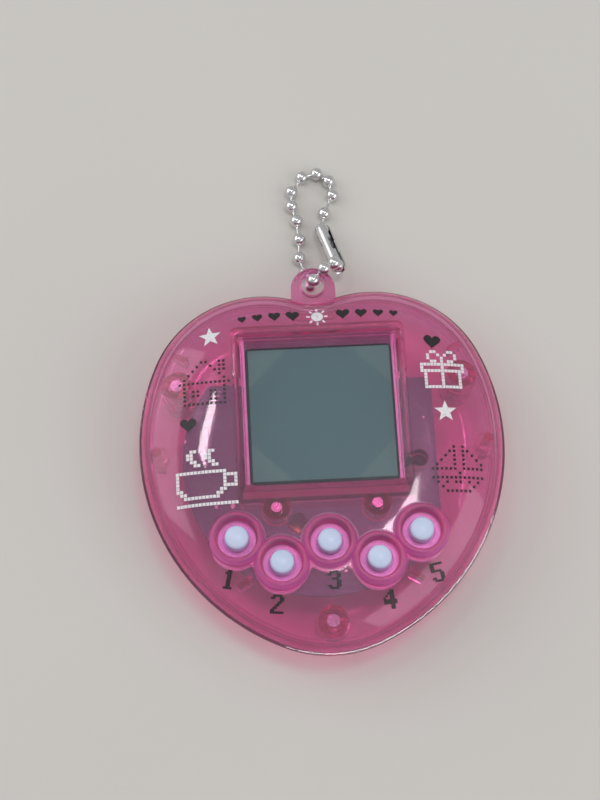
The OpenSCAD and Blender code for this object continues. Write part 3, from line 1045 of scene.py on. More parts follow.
@dataclass(frozen=True)
class CaseOutline:
    """The heart-like outline of the case: arcs about five centres, mirrored.

    Attributes:
        width: Width of the case.
        length: Length of the case without its tab.
        shoulder: Radius of the two upper shoulders.
        lower: Radius of the lower end.
        side: Radius of the lower part of the long sides.
        notch: Radius of the shallow notch.
        setback: How far the shoulders stay inside the widest line.
    """

    width: float = 63.7
    length: float = 65.3
    shoulder: float = 20.5
    lower: float = 21.1
    side: float = 38.8
    notch: float = 7.4
    setback: float = 1.57

    @property
    def low(self) -> float:
        """Y of the lower end."""
        return -self.length / 2

    @property
    def lower_centre(self) -> Vector:
        """Centre of the lower end's arc."""
        return Vector((0.0, self.low + self.lower))

    @property
    def side_centre(self) -> Vector:
        """Centre of the lower part of the right side's arc.

        Returns:
            The centre.
        """
        x = self.width / 2 - self.side
        y = self.lower_centre.y + math.sqrt((self.side - self.lower) ** 2 - x * x)
        return Vector((x, y))

    @property
    def shoulder_centre(self) -> Vector:
        """Centre of the right shoulder's arc."""
        x = self.width / 2 - self.shoulder - self.setback
        return Vector((x, self.length / 2 - self.shoulder))

    @property
    def upper_side(self) -> float:
        """Radius of the upper part of the long sides."""
        rise = self.shoulder_centre.y - self.side_centre.y
        return (rise * rise / self.setback + self.setback) / 2 + self.shoulder

    @property
    def upper_side_centre(self) -> Vector:
        """Centre of the upper part of the right side's arc."""
        return Vector((self.width / 2 - self.upper_side, self.side_centre.y))

    @property
    def notch_centre(self) -> Vector:
        """Centre of the notch's arc."""
        x, y = self.shoulder_centre
        return Vector((0.0, y + math.sqrt((self.shoulder + self.notch) ** 2 - x * x)))

    def turns(self) -> list[tuple[Vector, float, int]]:
        """Lists the arcs from the lower end up to the notch.

        Returns:
            The centre, angle in radians and number of steps of each arc.
        """
        low, side, upper = self.lower_centre, self.side_centre, self.upper_side_centre
        shoulder, notch = self.shoulder_centre, self.notch_centre

        def bearing(start: Vector, end: Vector) -> float:
            """Angle of the line between two points."""
            return math.atan2(end.y - start.y, end.x - start.x)

        first, second = bearing(side, low), bearing(upper, shoulder)
        third = bearing(shoulder, notch)
        return [
            (low, first + math.pi / 2, 9),
            (side, -first, 24),
            (upper, second, 9),
            (shoulder, third - second, 26),
            (notch, -math.pi / 2 - (third - math.pi), 7),
        ]

    def swept(self, profile: Sequence[Flat]) -> Solid:
        """Sweeps a profile round the outline.

        Args:
            profile: Distance inwards from the outline and height of each corner. A profile
                that ends where it starts is a ring, and any other is closed by flat faces.

        Returns:
            The solid.
        """
        solid = Solid()
        bm = solid.bm
        geometry = solid.drawn([(0.0, self.low + inset, z) for inset, z in profile])
        for centre, angle, steps in self.turns():
            geometry = bmesh.ops.spin(
                bm, geom=geometry, cent=(*centre, 0.0), axis=(0, 0, 1), angle=angle, steps=steps
            )["geom_last"]
        half = bm.verts[:] + bm.edges[:] + bm.faces[:]
        bmesh.ops.mirror(bm, geom=half, axis="X", merge_dist=1e-3)
        solid.merged(1e-3)
        rim = [e for e in bm.edges if e.is_boundary]
        if rim:
            bmesh.ops.holes_fill(bm, edges=rim, sides=0)
        return solid.outward()


@dataclass(frozen=True)
class ShellEdge:
    """The quarter-oval edge of a shell.

    Attributes:
        start: Distance inwards from the outline where it begins, and its height there.
        inset: How far in it flattens.
        rise: How far it rises, or falls if negative.
    """

    start: Flat
    inset: float
    rise: float

    def at(self, angle: float, depth: float = 0.0) -> Flat:
        """A point of the edge.

        Args:
            angle: Degrees along the oval, from 0 at the seam to 90 where it is flat.
            depth: How far under the surface, along its own normal.

        Returns:
            Distance inwards from the outline, and height.
        """
        c, s = math.cos(math.radians(angle)), math.sin(math.radians(angle))
        height = abs(self.rise)
        across, up = c / self.inset, s / height
        size = math.hypot(across, up)
        side = math.copysign(1.0, self.rise)
        x = self.start[0] + self.inset * (1 - c) + depth * across / size
        return x, self.start[1] + side * (height * s - depth * up / size)

    def line(self, depth: float = 0.0, steps: int = 16, first: float = 0.0) -> list[Flat]:
        """Points of the edge from the seam to where it is flat."""
        return [self.at(first + (90 - first) * i / steps, depth) for i in range(steps + 1)]


# ---------------------------------------------------------------- the object's sizes

# Heights of the shells' seam, of the door's and the board's upper faces, and of the wells' floor.
SEAM = 8.0
DOOR_TOP = 1.4
BOARD_TOP = 9.2
WELL_FLOOR = 14.1
DOME = ShellEdge(start=(0.4, SEAM), inset=16.0, rise=6.8)
REAR = ShellEdge(start=(0.0, SEAM), inset=8.0, rise=-SEAM)
OUTLINE = CaseOutline()
# Y of the middles of the visible display, its glass and the battery pocket, X of the cells' axes
# to each side, and Y of the door's screw.
DISPLAY_Y = 8.8
GLASS_Y = 8.9
POCKET_Y = 9.4
CELL_X = 6.1
EAR_Y = 18.5
BUTTONS: tuple[Flat, ...] = (
    (-15.55, OUTLINE.low + 19.2),
    (-8.15, OUTLINE.low + 14.75),
    (0.0, OUTLINE.low + 18.05),
    (8.15, OUTLINE.low + 14.75),
    (15.55, OUTLINE.low + 19.2),
)


def on_arc(centre: Vector, radius: float, degrees: float) -> Flat:
    """A point of an arc, mirrored by the caller where it is needed."""
    angle = math.radians(degrees)
    return centre.x + radius * math.cos(angle), centre.y + radius * math.sin(angle)


def both(place: Flat) -> list[Flat]:
    """A place and its mirror image, left one first."""
    return [(-place[0], place[1]), place]


BOSS_INSET = 5.35
BOSSES = [
    (0.0, OUTLINE.low + BOSS_INSET),
    *both(on_arc(OUTLINE.shoulder_centre, OUTLINE.shoulder - BOSS_INSET, 11.0)),
]
PINS = both(on_arc(OUTLINE.side_centre, OUTLINE.side - 3.4, -2.0))
POSTS = both((8.6, GLASS_Y - 16.7))


# ---------------------------------------------------------------- front shell


@dataclass
class FrontShell:
    """The domed front: display frame, collars, and what hangs from its inner face.

    Attributes:
        plastic: Its material.
        frame: Width and length of the raised frame round the display.
        pocket: Width and length of the walls that hold the display.
        glass_room: Width and length of the room for the glass.
        side_slots: Width and length over the open stretches in the pocket's sides.
        top: Height of the frame.
        window_top: Height of the frame's opening at the clear window.
        hang_top: Height inside the dome's wall at which what hangs from it begins.
        view: Width and length of the visible display.
        bezel: Width of the sloped edge round it.
        well: Radius of the well round each button.
        rim: Height of the collars' rims.
    """

    plastic: bpy.types.Material
    frame: Flat = (30.2, 30.4)
    pocket: Flat = (30.2, 32.2)
    glass_room: Flat = (28.4, 30.4)
    side_slots: Flat = (30.4, 15.0)
    top: float = 14.75
    window_top: float = 12.0
    hang_top: float = 15.0
    view: Flat = (25.7, 24.8)
    bezel: float = 1.9
    well: float = 3.45
    rim: float = 16.1

    def dome(self) -> Solid:
        """The smooth wall of the dome, with a small round along its lower edge."""
        lip = [(1.9, SEAM), (0.52, SEAM), (0.43, SEAM + 0.04), (0.4, SEAM + 0.14)]
        return OUTLINE.swept([*reversed(DOME.line(1.5)), *lip, *DOME.line(0.0, 18, 1.6)])

    def core(self) -> Solid:
        """The space under the middle of the dome's wall, which bounds what hangs in it."""
        return OUTLINE.swept([(1.4, 4.0), *DOME.line(0.75)])

    def collar(self, at: Flat) -> Solid:
        """The ring round one button.

        Args:
            at: The button's place.

        Returns:
            The ring.
        """
        rim = arc((self.well + 0.42, self.rim - 0.43), 0.43, 4.0, 176.0, 10)
        profile = [
            (2.2, 13.1),
            (2.3, 13.0),
            (self.well, 13.0),
            (self.well, 11.85),
            (self.well + 0.1, 11.75),
            (self.well + 0.8, 11.75),
            (self.well + 0.9, 11.85),
            (self.well + 0.9, 13.6),
            (4.65, 13.9),
            (4.62, 14.9),
            (4.45, 15.45),
            *rim,
            (self.well, 15.5),
            *arc((self.well - 0.3, 14.4), 0.3, 0.0, -90.0, 4),
            (2.35, WELL_FLOOR),
            (2.2, 13.98),
            (2.2, 13.1),
        ]
        return Solid.turned(profile, at, 56)

    def hanging(self) -> list[Solid]:
        """Posts, bosses, pins, the stud and the ribs that hang from the dome.

        Returns:
            The solids, which may overlap.
        """
        high = self.hang_top
        made = [Solid.post(p, 2.5, SEAM + 0.05, high, 40, 0.15) for p in BOSSES]
        made += [Solid.post(p, 2.4, BOARD_TOP, high, 40, 0.15) for p in POSTS]
        made += [Solid.post(p, 0.8, 5.0, high, 24, 0.2) for p in PINS]
        made.append(Solid.post((16.2, GLASS_Y - 9.4), 1.5, BOARD_TOP, high, 32, 0.15))
        ribs = (
            (OUTLINE.lower_centre, OUTLINE.lower, -31.0),
            (OUTLINE.shoulder_centre, OUTLINE.shoulder, 30.0),
        )
        for centre, radius, degrees in ribs:
            x, y = on_arc(centre, radius - 4.4, degrees)
            for side in (-1, 1):
                at, turn = (side * x, y), side * degrees
                made.append(Solid.block((2.6, 1.0), SEAM + 0.05, high, at, 0.2, turn=turn))
        return made

    def pocket_walls(self) -> Solid:
        """The box that holds the display, hanging from the dome."""
        return Solid.block(self.pocket, 9.3, 14.4, (0.0, GLASS_Y), 1.0)

    def openings(self) -> list[Solid]:
        """What is cut out for the display, the pegs, the flanges and the screws.

        Returns:
            The solids to cut out.
        """
        at = (0.0, DISPLAY_Y)
        cuts = [
            Solid.block(self.view, self.window_top - 1.0, self.window_top + 0.2, at, 1.0),
            Solid.block(self.view, self.window_top, self.top + 0.3, at, 1.0, grow=self.bezel + 0.2),
            Solid.block(self.glass_room, 7.0, self.window_top, (0.0, GLASS_Y), 0.3),
            Solid.block(self.side_slots, 7.0, 11.2, at, 0.4),
        ]
        cuts += [Solid.post(p, 1.12, 7.0, 11.5) for p in BOSSES]
        cuts += [Solid.post(p, 0.92, 8.0, 12.3) for p in POSTS]
        return cuts

    def build(self) -> Solid:
        """Shapes the whole shell and hands it over.

        Returns:
            A copy of the dome's outer wall, for prints to lie on.
        """
        shell = self.dome()
        lay = self.dome()
        hanging = Solid.united(self.hanging() + [self.pocket_walls()])
        hanging.combined(How.KEEP, [self.core()])
        shell.combined(How.REMOVE, [Solid.post(p, self.well + 0.5, 8.5, 16.0, 56) for p in BUTTONS])
        plateau = Solid.block(self.frame, self.window_top, self.top, (0.0, DISPLAY_Y), 2.4)
        top = [e for e in plateau.bm.edges if min(v.co.z for v in e.verts) > self.top - 1e-4]
        plateau.rounded(top, 0.35, 4)
        for part in (hanging, plateau, *(self.collar(place) for place in BUTTONS)):
            shell.combined(How.JOIN, [part])
        for place in BUTTONS:
            well = Solid.post(place, self.well - 0.001, WELL_FLOOR + 0.31, self.rim + 0.5, 56)
            shell.combined(How.REMOVE, [well])
        shell.combined(How.REMOVE, self.openings())
        shell.piece("front_shell_moulding", "case", self.plastic, "shell_plastic", ["front_shell"])
        return lay


# ---------------------------------------------------------------- rear shell and door


@dataclass
class RearShell:
    """The rear bowl with its tongue, tab, battery pocket, buzzer seat and screw wells.

    Attributes:
        plastic: Its material.
        tab_tip: Y of the tab's end.
        tab_radius: Radius of the tab's round end.
        tab_low: Height of the tab's lower face.
        tab_high: Height of the tab's upper face.
        hole_radius: Radius of the hole for the chain.
        buzzer: Middle of the buzzer and its sound holes.
        hole_ring: Radius of the ring of sound holes.
        foot: Height in the rear wall at which what stands on it begins.
        ledge_top: Height of the ledge round the door.
        pocket_top: Height of the battery pocket.
    """

    plastic: bpy.types.Material
    tab_tip: float = OUTLINE.length / 2 + 5.2
    tab_radius: float = 4.0
    tab_low: float = 4.9
    tab_high: float = 7.9
    hole_radius: float = 2.1
    buzzer: Flat = (0.0, OUTLINE.low + 20.6)
    hole_ring: float = 3.0
    foot: float = 0.2
    ledge_top: float = 2.4
    pocket_top: float = 7.9

    def bowl(self) -> Solid:
        """The smooth wall with the tongue that lines the shells up.

        Returns:
            The wall.
        """
        tongue = [(2.8, 6.3), (2.8, 8.9), (2.7, 9.0), (2.2, 9.0), (2.11, 8.9), (2.0, SEAM)]
        rim = [(0.16, SEAM), (0.05, SEAM - 0.04), (0.0, SEAM - 0.15)]
        inner = [p for p in reversed(REAR.line(1.5)) if p[1] < 6.2]
        return OUTLINE.swept([*inner, *tongue, *rim, *REAR.line(0.0, 18, 1.6)])

    def core(self) -> Solid:
        """The space inside the middle of the bowl's wall."""
        return OUTLINE.swept([*reversed(REAR.line(0.75)), (0.75, 9.0)])

    def standing(self) -> list[Solid]:
        """Screw bosses, pin sockets, battery pocket and buzzer ring.

        Returns:
            The solids, which may overlap.
        """
        low, middle = self.foot, (0.0, POCKET_Y)
        made = [Solid.post(p, 2.9, low, SEAM - 0.05, 40, 0.15) for p in BOSSES]
        made += [Solid.post(p, 1.9, low, SEAM - 0.05, 32, 0.15) for p in PINS]
        ring = [(7.6, 1.0), (8.4, 1.0), (8.4, 2.6), (8.3, 2.7), (7.7, 2.7), (7.6, 2.6), (7.6, 1.0)]
        return made + [
            Solid.stadium(CELL_X, 7.1, low, self.pocket_top, middle),
            Solid.stadium(CELL_X, 8.7, low, self.ledge_top, middle),
            Solid.post((0.0, EAR_Y), 4.2, low, self.ledge_top),
            Solid.post((0.0, EAR_Y), 2.1, low, 6.4, 32, 0.15),
            Solid.turned(ring, self.buzzer, 64),
        ]

    def tab(self) -> Solid:
        """The tab for the chain, with rounded edges.

        Returns:
            The tab.
        """
        low, high, y = self.tab_low, self.tab_high, self.tab_tip - self.tab_radius
        tab = Solid.post((0.0, y), self.tab_radius, low, high, 48)
        neck = Solid.block((2 * self.tab_radius, 8.0), low, high, (0.0, y - 4.0))
        tab.combined(How.JOIN, [neck]).levelled()
        return tab.rounded([e for e in tab.bm.edges if e.calc_face_angle(0.0) > 1.2], 0.45, 4)

    def openings(self) -> list[Solid]:
        """Everything cut through or into the bowl.

        Returns:
            The solids to cut out.
        """
        cuts = [Solid.post(p, 1.25, 1.0, SEAM + 1.0) for p in BOSSES]
        cuts += [Solid.post(p, 0.9, 4.5, SEAM + 1.0) for p in PINS]
        cuts += [
            Solid.stadium(CELL_X, 7.85, -1.0, DOOR_TOP, (0.0, POCKET_Y)),
            Solid.post((0.0, EAR_Y), 3.35, -1.0, DOOR_TOP),
            Solid.block((6.7, 9.1), -1.0, DOOR_TOP, (0.0, 13.95)),
            Solid.stadium(CELL_X, 6.1, 0.0, 7.3, (0.0, POCKET_Y)),
            Solid.post((0.0, EAR_Y), 0.92, 0.0, 5.8),
        ]
        cuts += [Solid.block((2.0, 0.8), 6.8, 9.0, (s * CELL_X, POCKET_Y)) for s in (-1, 1)]
        flared = [(0.0, -0.5), (0.9, -0.5), (0.75, 0.05), (0.6, 0.25), (0.6, 2.0), (0.0, 2.0)]
        middle = Vector(self.buzzer)
        holes = [self.buzzer, *(on_arc(middle, self.hole_ring, 60.0 * k) for k in range(6))]
        return cuts + [Solid.turned(flared, hole, 24) for hole in holes]

    def wells(self) -> list[Solid]:
        """Wells for the screw heads, flared at the outer face."""
        flared = [(0.0, -0.5), (2.6, -0.5), (2.3, 0.1), (2.1, 0.4), (2.1, 3.4), (0.0, 3.4)]
        return [Solid.turned(flared, p, 40) for p in BOSSES]

    def tab_hole(self) -> Solid:
        """The hole through the tab, flared at both ends.

        Returns:
            The solid to cut out.
        """
        r, low, high = self.hole_radius, self.tab_low, self.tab_high
        profile = [
            (0.0, low - 1),
            (r + 0.9, low - 1),
            *arc((r + 0.4, low + 0.4), 0.4, 250.0, 180.0, 4),
            *arc((r + 0.4, high - 0.4), 0.4, 180.0, 110.0, 4),
            (r + 0.9, high + 1),
            (0.0, high + 1),
        ]
        return Solid.turned(profile, (0.0, self.tab_tip - 3.1), 40)

    def build(self) -> None:
        """Shapes the whole shell and hands it over."""
        shell = self.bowl()
        standing = Solid.united(self.standing())
        shell.combined(How.JOIN, [standing.combined(How.KEEP, [self.core()])])
        shell.combined(How.JOIN, [self.tab()])
        for cuts in ([self.core_above_tab()], self.openings(), self.wells(), [self.tab_hole()]):
            shell.combined(How.REMOVE, cuts)
        shell.piece("rear_shell_moulding", "case", self.plastic, "shell_plastic", ["rear_shell"])

    def core_above_tab(self) -> Solid:
        """Room inside the bowl that the tab's root would otherwise fill."""
        return Solid.block((9.0, 6.0), 4.0, 7.95, (0.0, 24.5))


@dataclass
class BatteryDoor:
    """The flush door over the cells, with a grip and a sunk screw.

    Attributes:
        plastic: Its material.
        low: Height of its outer face.
        high: Height of its inner face.
    """

    plastic: bpy.types.Material
    low: float = 0.2
    high: float = DOOR_TOP

    def build(self) -> None:
        """Shapes the door and hands it over."""
        door = Solid.stadium(CELL_X, 7.7, self.low, self.high, (0.0, POCKET_Y))
        ear = Solid.post((0.0, EAR_Y), 3.2, self.low, self.high)
        neck = Solid.block((6.4, 9.1), self.low, self.high, (0.0, 13.95))
        door.combined(How.JOIN, [ear, neck]).levelled()
        lower = [e for e in door.bm.edges if max(v.co.z for v in e.verts) < self.low + 1e-4]
        door.rounded(lower, 0.18, 3)
        grooves = [(0.0, 4.0 + 1.1 * k) for k in range(4)]
        cuts = [Solid.block((7.0, 0.45), self.low - 0.5, self.low + 0.25, at) for at in grooves]
        seat = [(0.0, -0.5), (2.0, -0.5), (1.75, 0.3), (1.7, 1.0), (0.0, 1.0)]
        cuts += [Solid.turned(seat, (0.0, EAR_Y), 40), Solid.post((0.0, EAR_Y), 1.05, 0.5, 2.0)]
        door.combined(How.REMOVE, cuts)
        name, body = "battery_door_plate", "battery_door_set"
        door.piece(name, body, self.plastic, "door_plastic", ["battery_door"])


# ---------------------------------------------------------------- display and buttons


@dataclass
class DisplayStack:
    """The clear window, the liquid crystal sheet and the plates under it.

    Attributes:
        window: Material of the clear window.
        crystal: Material of the display's face.
        edge: Material of the upper glass.
        glass: Material of the lower glass.
        reflector: Material of the sheet behind them.
        shrink: How much smaller each plate is on each side, so that plates don't touch.
    """

    window: bpy.types.Material
    crystal: bpy.types.Material
    # edge: Material of the upper glass, whose edges carry painted shade and painted highlights.
    edge: bpy.types.Material
    glass: bpy.types.Material
    reflector: bpy.types.Material
    shrink: float = 0.02

    def plate(self, node: str, name: str, finish: bpy.types.Material, slot: str) -> None:
        """Makes one plate with soft edges in the place of its CAD node.

        Args:
            node: The CAD node it stands for.
            name: The piece's name.
            finish: Its material.
            slot: A name handed on to the piece.
        """
        shrink = self.shrink
        low, high = (Vector(corner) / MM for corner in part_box(node))
        size = (high.x - low.x - 2 * shrink, high.y - low.y - 2 * shrink)
        middle = ((high.x + low.x) / 2, (high.y + low.y) / 2)
        made = Solid.block(size, low.z + shrink, high.z - shrink, middle, 0.3, 0.05)
        made.piece(name, "case", finish, slot, [node])

    def build(self) -> None:
        """Makes every plate."""
        self.plate("display_window", "window_pane", self.window, "window_plastic")
        self.plate("display_polariser", "display_face", self.crystal, "display_film")
        self.plate("display_front_glass", "display_upper_glass", self.edge, "display_glass")
        self.plate("display_rear_glass", "display_lower_glass", self.glass, "display_glass")
        self.plate("display_reflector", "display_backing", self.reflector, "reflector_film")


@dataclass
class ButtonCap:
    """A push button: domed peg, flange and stem.

    Attributes:
        plastic: Its material.
        number: Its place in the row, from 1 at the left.
        at: Its axis.
        crown_radius: Radius of its domed top.
        crown_centre: Height of that dome's centre.
    """

    plastic: bpy.types.Material
    number: int
    at: Flat
    crown_radius: float = 4.0
    crown_centre: float = 12.55

    def build(self) -> None:
        """Turns the cap and hands it over."""
        steps = [2.0 * k / 8 for k in range(8)]
        crown = [(r, self.crown_centre + math.sqrt(self.crown_radius**2 - r**2)) for r in steps]
        shoulder = arc((1.72, 15.72), 0.28, 62.0, 0.0, 5)
        profile = [
            (0.0, 11.35),
            (1.5, 11.35),
            (1.6, 11.45),
            (1.6, 12.05),
            (3.1, 12.05),
            (3.2, 12.15),
            (3.2, 12.8),
            (3.1, 12.9),
            (2.1, 12.9),
            (2.0, 13.0),
            *reversed(shoulder),
            *reversed(crown),
        ]
        name, body, node = (f"{word}_{self.number}" for word in ("button_cap", "key", "button"))
        Solid.turned(profile, self.at, 48).piece(name, body, self.plastic, "button_plastic", [node])


# ---------------------------------------------------------------- prints

HOUSE = (
    ".....##..##.",
    "....#..#.##.",
    "...#....###.",
    "..#......#..",
    ".#........#.",
    "############",
    ".#........#.",
    ".#.##..##.#.",
    ".#.##..##.#.",
    ".#.....##.#.",
    ".##########.",
)
GIFT = (
    "...##...##...",
    "..#..#.#..#..",
    "..#...#...#..",
    "...##.#.##...",
    "#############",
    "#.....#.....#",
    "#############",
    ".#....#....#.",
    ".#....#....#.",
    ".#....#....#.",
    ".#....#....#.",
    ".###########.",
)
CUP = (
    "....##...##......",
    "...##...##.......",
    "...##...##.......",
    "....##...##......",
    ".....##...##.....",
    ".................",
    "##############...",
    "#............####",
    "#............#..#",
    "#............#..#",
    "#............####",
    "##..........##...",
    ".##........##....",
    "..##########.....",
    ".................",
    "#################",
)
BOAT = (
    ".....#.#....",
    "....##.##...",
    "...#.#.#.#..",
    "..#..#.#..#.",
    ".#...#.#...#",
    "######.#####",
    "......#.....",
    "############",
    ".#.#.##.#.#.",
    "..#......#..",
    "...######...",
)
DIGITS = (
    ("..##..", ".###..", "..##..", "..##..", "..##..", "..##..", "..##..", ".####."),
    (".####.", "##..##", "....##", "...##.", "..##..", ".##...", "##....", "######"),
    (".####.", "##..##", "....##", "..###.", "....##", "....##", "##..##", ".####."),
    ("...##.", "..###.", ".#.##.", "#..##.", "######", "######", "...##.", "...##."),
    ("######", "##....", "##....", "#####.", "....##", "....##", "##..##", ".####."),
)


@dataclass
class Print:
    """A flat print that lies on the dome.

    Attributes:
        name: The piece's name.
        ink: Its material.
        at: Its middle.
        turn: Degrees it is turned.
        film: Thickness of the ink.
        gap: How far it keeps off the dome.
        sheet: Its flat shape about the origin.
    """

    name: str
    ink: bpy.types.Material
    at: Flat
    turn: float = 0.0
    film: float = 0.03
    gap: float = 0.012
    sheet: Solid = field(default_factory=Solid)

    def lay(self, dome: BVHTree) -> None:
        """Drops the print onto the dome and gives it the ink's thickness.

        Args:
            dome: The dome's outer wall.
        """
        bm = self.sheet.bm
        turn = Matrix.Rotation(math.radians(self.turn), 4, "Z")
        self.sheet.moved(Matrix.Translation((*self.at, 0.0)) @ turn)
        down = Vector((0.0, 0.0, -1.0))
        for vert in bm.verts:
            hit = dome.ray_cast(Vector((vert.co.x, vert.co.y, 40.0)), down)[0]
            vert.co.z = hit.z + self.gap
        self.sheet.outward()
        for face in bm.faces:
            if face.normal.z < 0:
                face.normal_flip()
        raised = bmesh.ops.extrude_face_region(bm, geom=bm.faces[:])["geom"]
        upper = [v for v in raised if isinstance(v, bmesh.types.BMVert)]
        bmesh.ops.translate(bm, vec=(0.0, 0.0, self.film), verts=upper)
        self.sheet.outward().piece(self.name, "case", self.ink, sharp=50.0)

    def star(self, radius: float) -> "Print":
        """A five-pointed star.

        Args:
            radius: Distance of its points from its middle.

        Returns:
            This print.
        """
        bm = self.sheet.bm
        bmesh.ops.create_circle(bm, cap_ends=True, radius=radius, segments=10)
        for index, vert in enumerate(sorted(bm.verts, key=lambda v: math.atan2(v.co.y, v.co.x))):
            if index % 2:
                vert.co *= 0.42
        self.sheet.rotated(self.point_up(radius))
        return self

    def point_up(self, radius: float) -> float:
        """Works out how to turn a star so that one point is up.

        Args:
            radius: The star's radius.

        Returns:
            How far to turn it, in degrees.
        """
        points = [v.co for v in self.sheet.bm.verts if v.co.length > 0.9 * radius]
        nearest = min(points, key=lambda p: abs(math.atan2(p.y, p.x) - math.pi / 2))
        return 90.0 - math.degrees(math.atan2(nearest.y, nearest.x))

    def heart(self, size: float) -> "Print":
        """A small heart: two round lobes over a point.

        Args:
            size: Its width.

        Returns:
            This print.
        """
        bm = self.sheet.bm
        bmesh.ops.create_circle(bm, cap_ends=True, radius=1.0, segments=40)
        for vert in bm.verts:
            t = math.atan2(vert.co.x, vert.co.y)
            x = 16 * math.sin(t) ** 3
            y = 13 * math.cos(t) - 5 * math.cos(2 * t) - 2 * math.cos(3 * t) - math.cos(4 * t)
            vert.co = Vector((x, y, 0.0)) * (size / 32)
        return self

    def sun(self, radius: float) -> "Print":
        """A disc with eight short rays.

        Args:
            radius: Distance of the rays' ends from its middle.

        Returns:
            This print.
        """
        bm = self.sheet.bm
        bmesh.ops.create_circle(bm, cap_ends=True, radius=radius * 0.56, segments=32)
        outwards = Matrix.Translation((radius * 0.84, 0.0, 0.0))
        stretch = Matrix.Diagonal((1.0, 0.55, 1.0, 1.0))
        for k in range(8):
            ray = Matrix.Rotation(math.tau * k / 8, 4, "Z") @ outwards @ stretch
            bmesh.ops.create_grid(bm, x_segments=1, y_segments=1, size=radius * 0.17, matrix=ray)
        return self

    def squares(self, rows: Sequence[str], pitch: float, fill: float) -> "Print":
        """A pattern of small squares.

        Args:
            rows: The pattern, a line of text for each row, with a hash for each square.
            pitch: Distance between the squares.
            fill: Width of a square as a share of the pitch.

        Returns:
            This print.
        """
        wide, tall = max(len(r) for r in rows), len(rows)
        for j, row in enumerate(rows):
            for i, mark in enumerate(row):
                if mark == "#":
                    spot = ((i - (wide - 1) / 2) * pitch, ((tall - 1) / 2 - j) * pitch, 0.0)
                    bmesh.ops.create_grid(
                        self.sheet.bm,
                        x_segments=1,
                        y_segments=1,
                        size=pitch * fill / 2,
                        matrix=Matrix.Translation(spot),
                    )
        return self


@dataclass
class Prints:
    """Every print on the front: stars, hearts, small block patterns and plain digits.

    Attributes:
        white: The white ink.
        black: The black ink.
        dome: The dome's outer wall.
    """

    white: bpy.types.Material
    black: bpy.types.Material
    dome: BVHTree

    def build(self) -> None:
        """Lays every print."""
        Print("print_star_left", self.white, (-18.7, 23.3), 4.0).star(2.0).lay(self.dome)
        Print("print_star_right", self.white, (21.2, 7.4)).star(2.0).lay(self.dome)
        Print("print_heart_right", self.black, (19.9, 20.6), -6.0).heart(3.0).lay(self.dome)
        Print("print_heart_left", self.black, (-23.0, 7.2)).heart(2.8).lay(self.dome)
        Print("print_sun", self.white, (0.2, 26.5)).sun(1.85).lay(self.dome)
        row = ((4.4, 2.4), (7.6, 2.1), (10.6, 1.8), (13.3, 1.5))
        for number, (x, size) in enumerate(row, 1):
            for side, word in ((-1, "left"), (1, "right")):
                name, at = f"print_row_{word}_{number}", (side * x + 0.3, 26.9 - 0.003 * x * x)
                Print(name, self.black, at, -side * x * 0.5).heart(size).lay(self.dome)
        Print("print_house", self.black, (-20.0, 14.6)).squares(HOUSE, 0.77, 0.58).lay(self.dome)
        Print("print_boat", self.black, (22.5, -2.8)).squares(BOAT, 0.77, 0.58).lay(self.dome)
        Print("print_cup", self.white, (-20.2, -2.4)).squares(CUP, 0.62, 0.86).lay(self.dome)
        Print("print_gift", self.white, (21.3, 15.2)).squares(GIFT, 0.60, 0.88).lay(self.dome)
        marks = ((-17.2, -19.8), (-9.3, -24.5), (0.4, -21.2), (9.6, -24.6), (17.9, -20.2))
        for number, (rows, at) in enumerate(zip(DIGITS, marks), 1):
            made = Print(f"print_digit_{number}", self.black, at, 7.0 * (number - 3))
            made.squares(rows, 0.38, 0.95).lay(self.dome)


# ---------------------------------------------------------------- ball chain


def along(start: Vector, end: Vector) -> Matrix:
    """The matrix that stands an upright shape on start and points it at end."""
    return Matrix.Translation(start) @ (end - start).to_track_quat("Z", "Y").to_matrix().to_4x4()


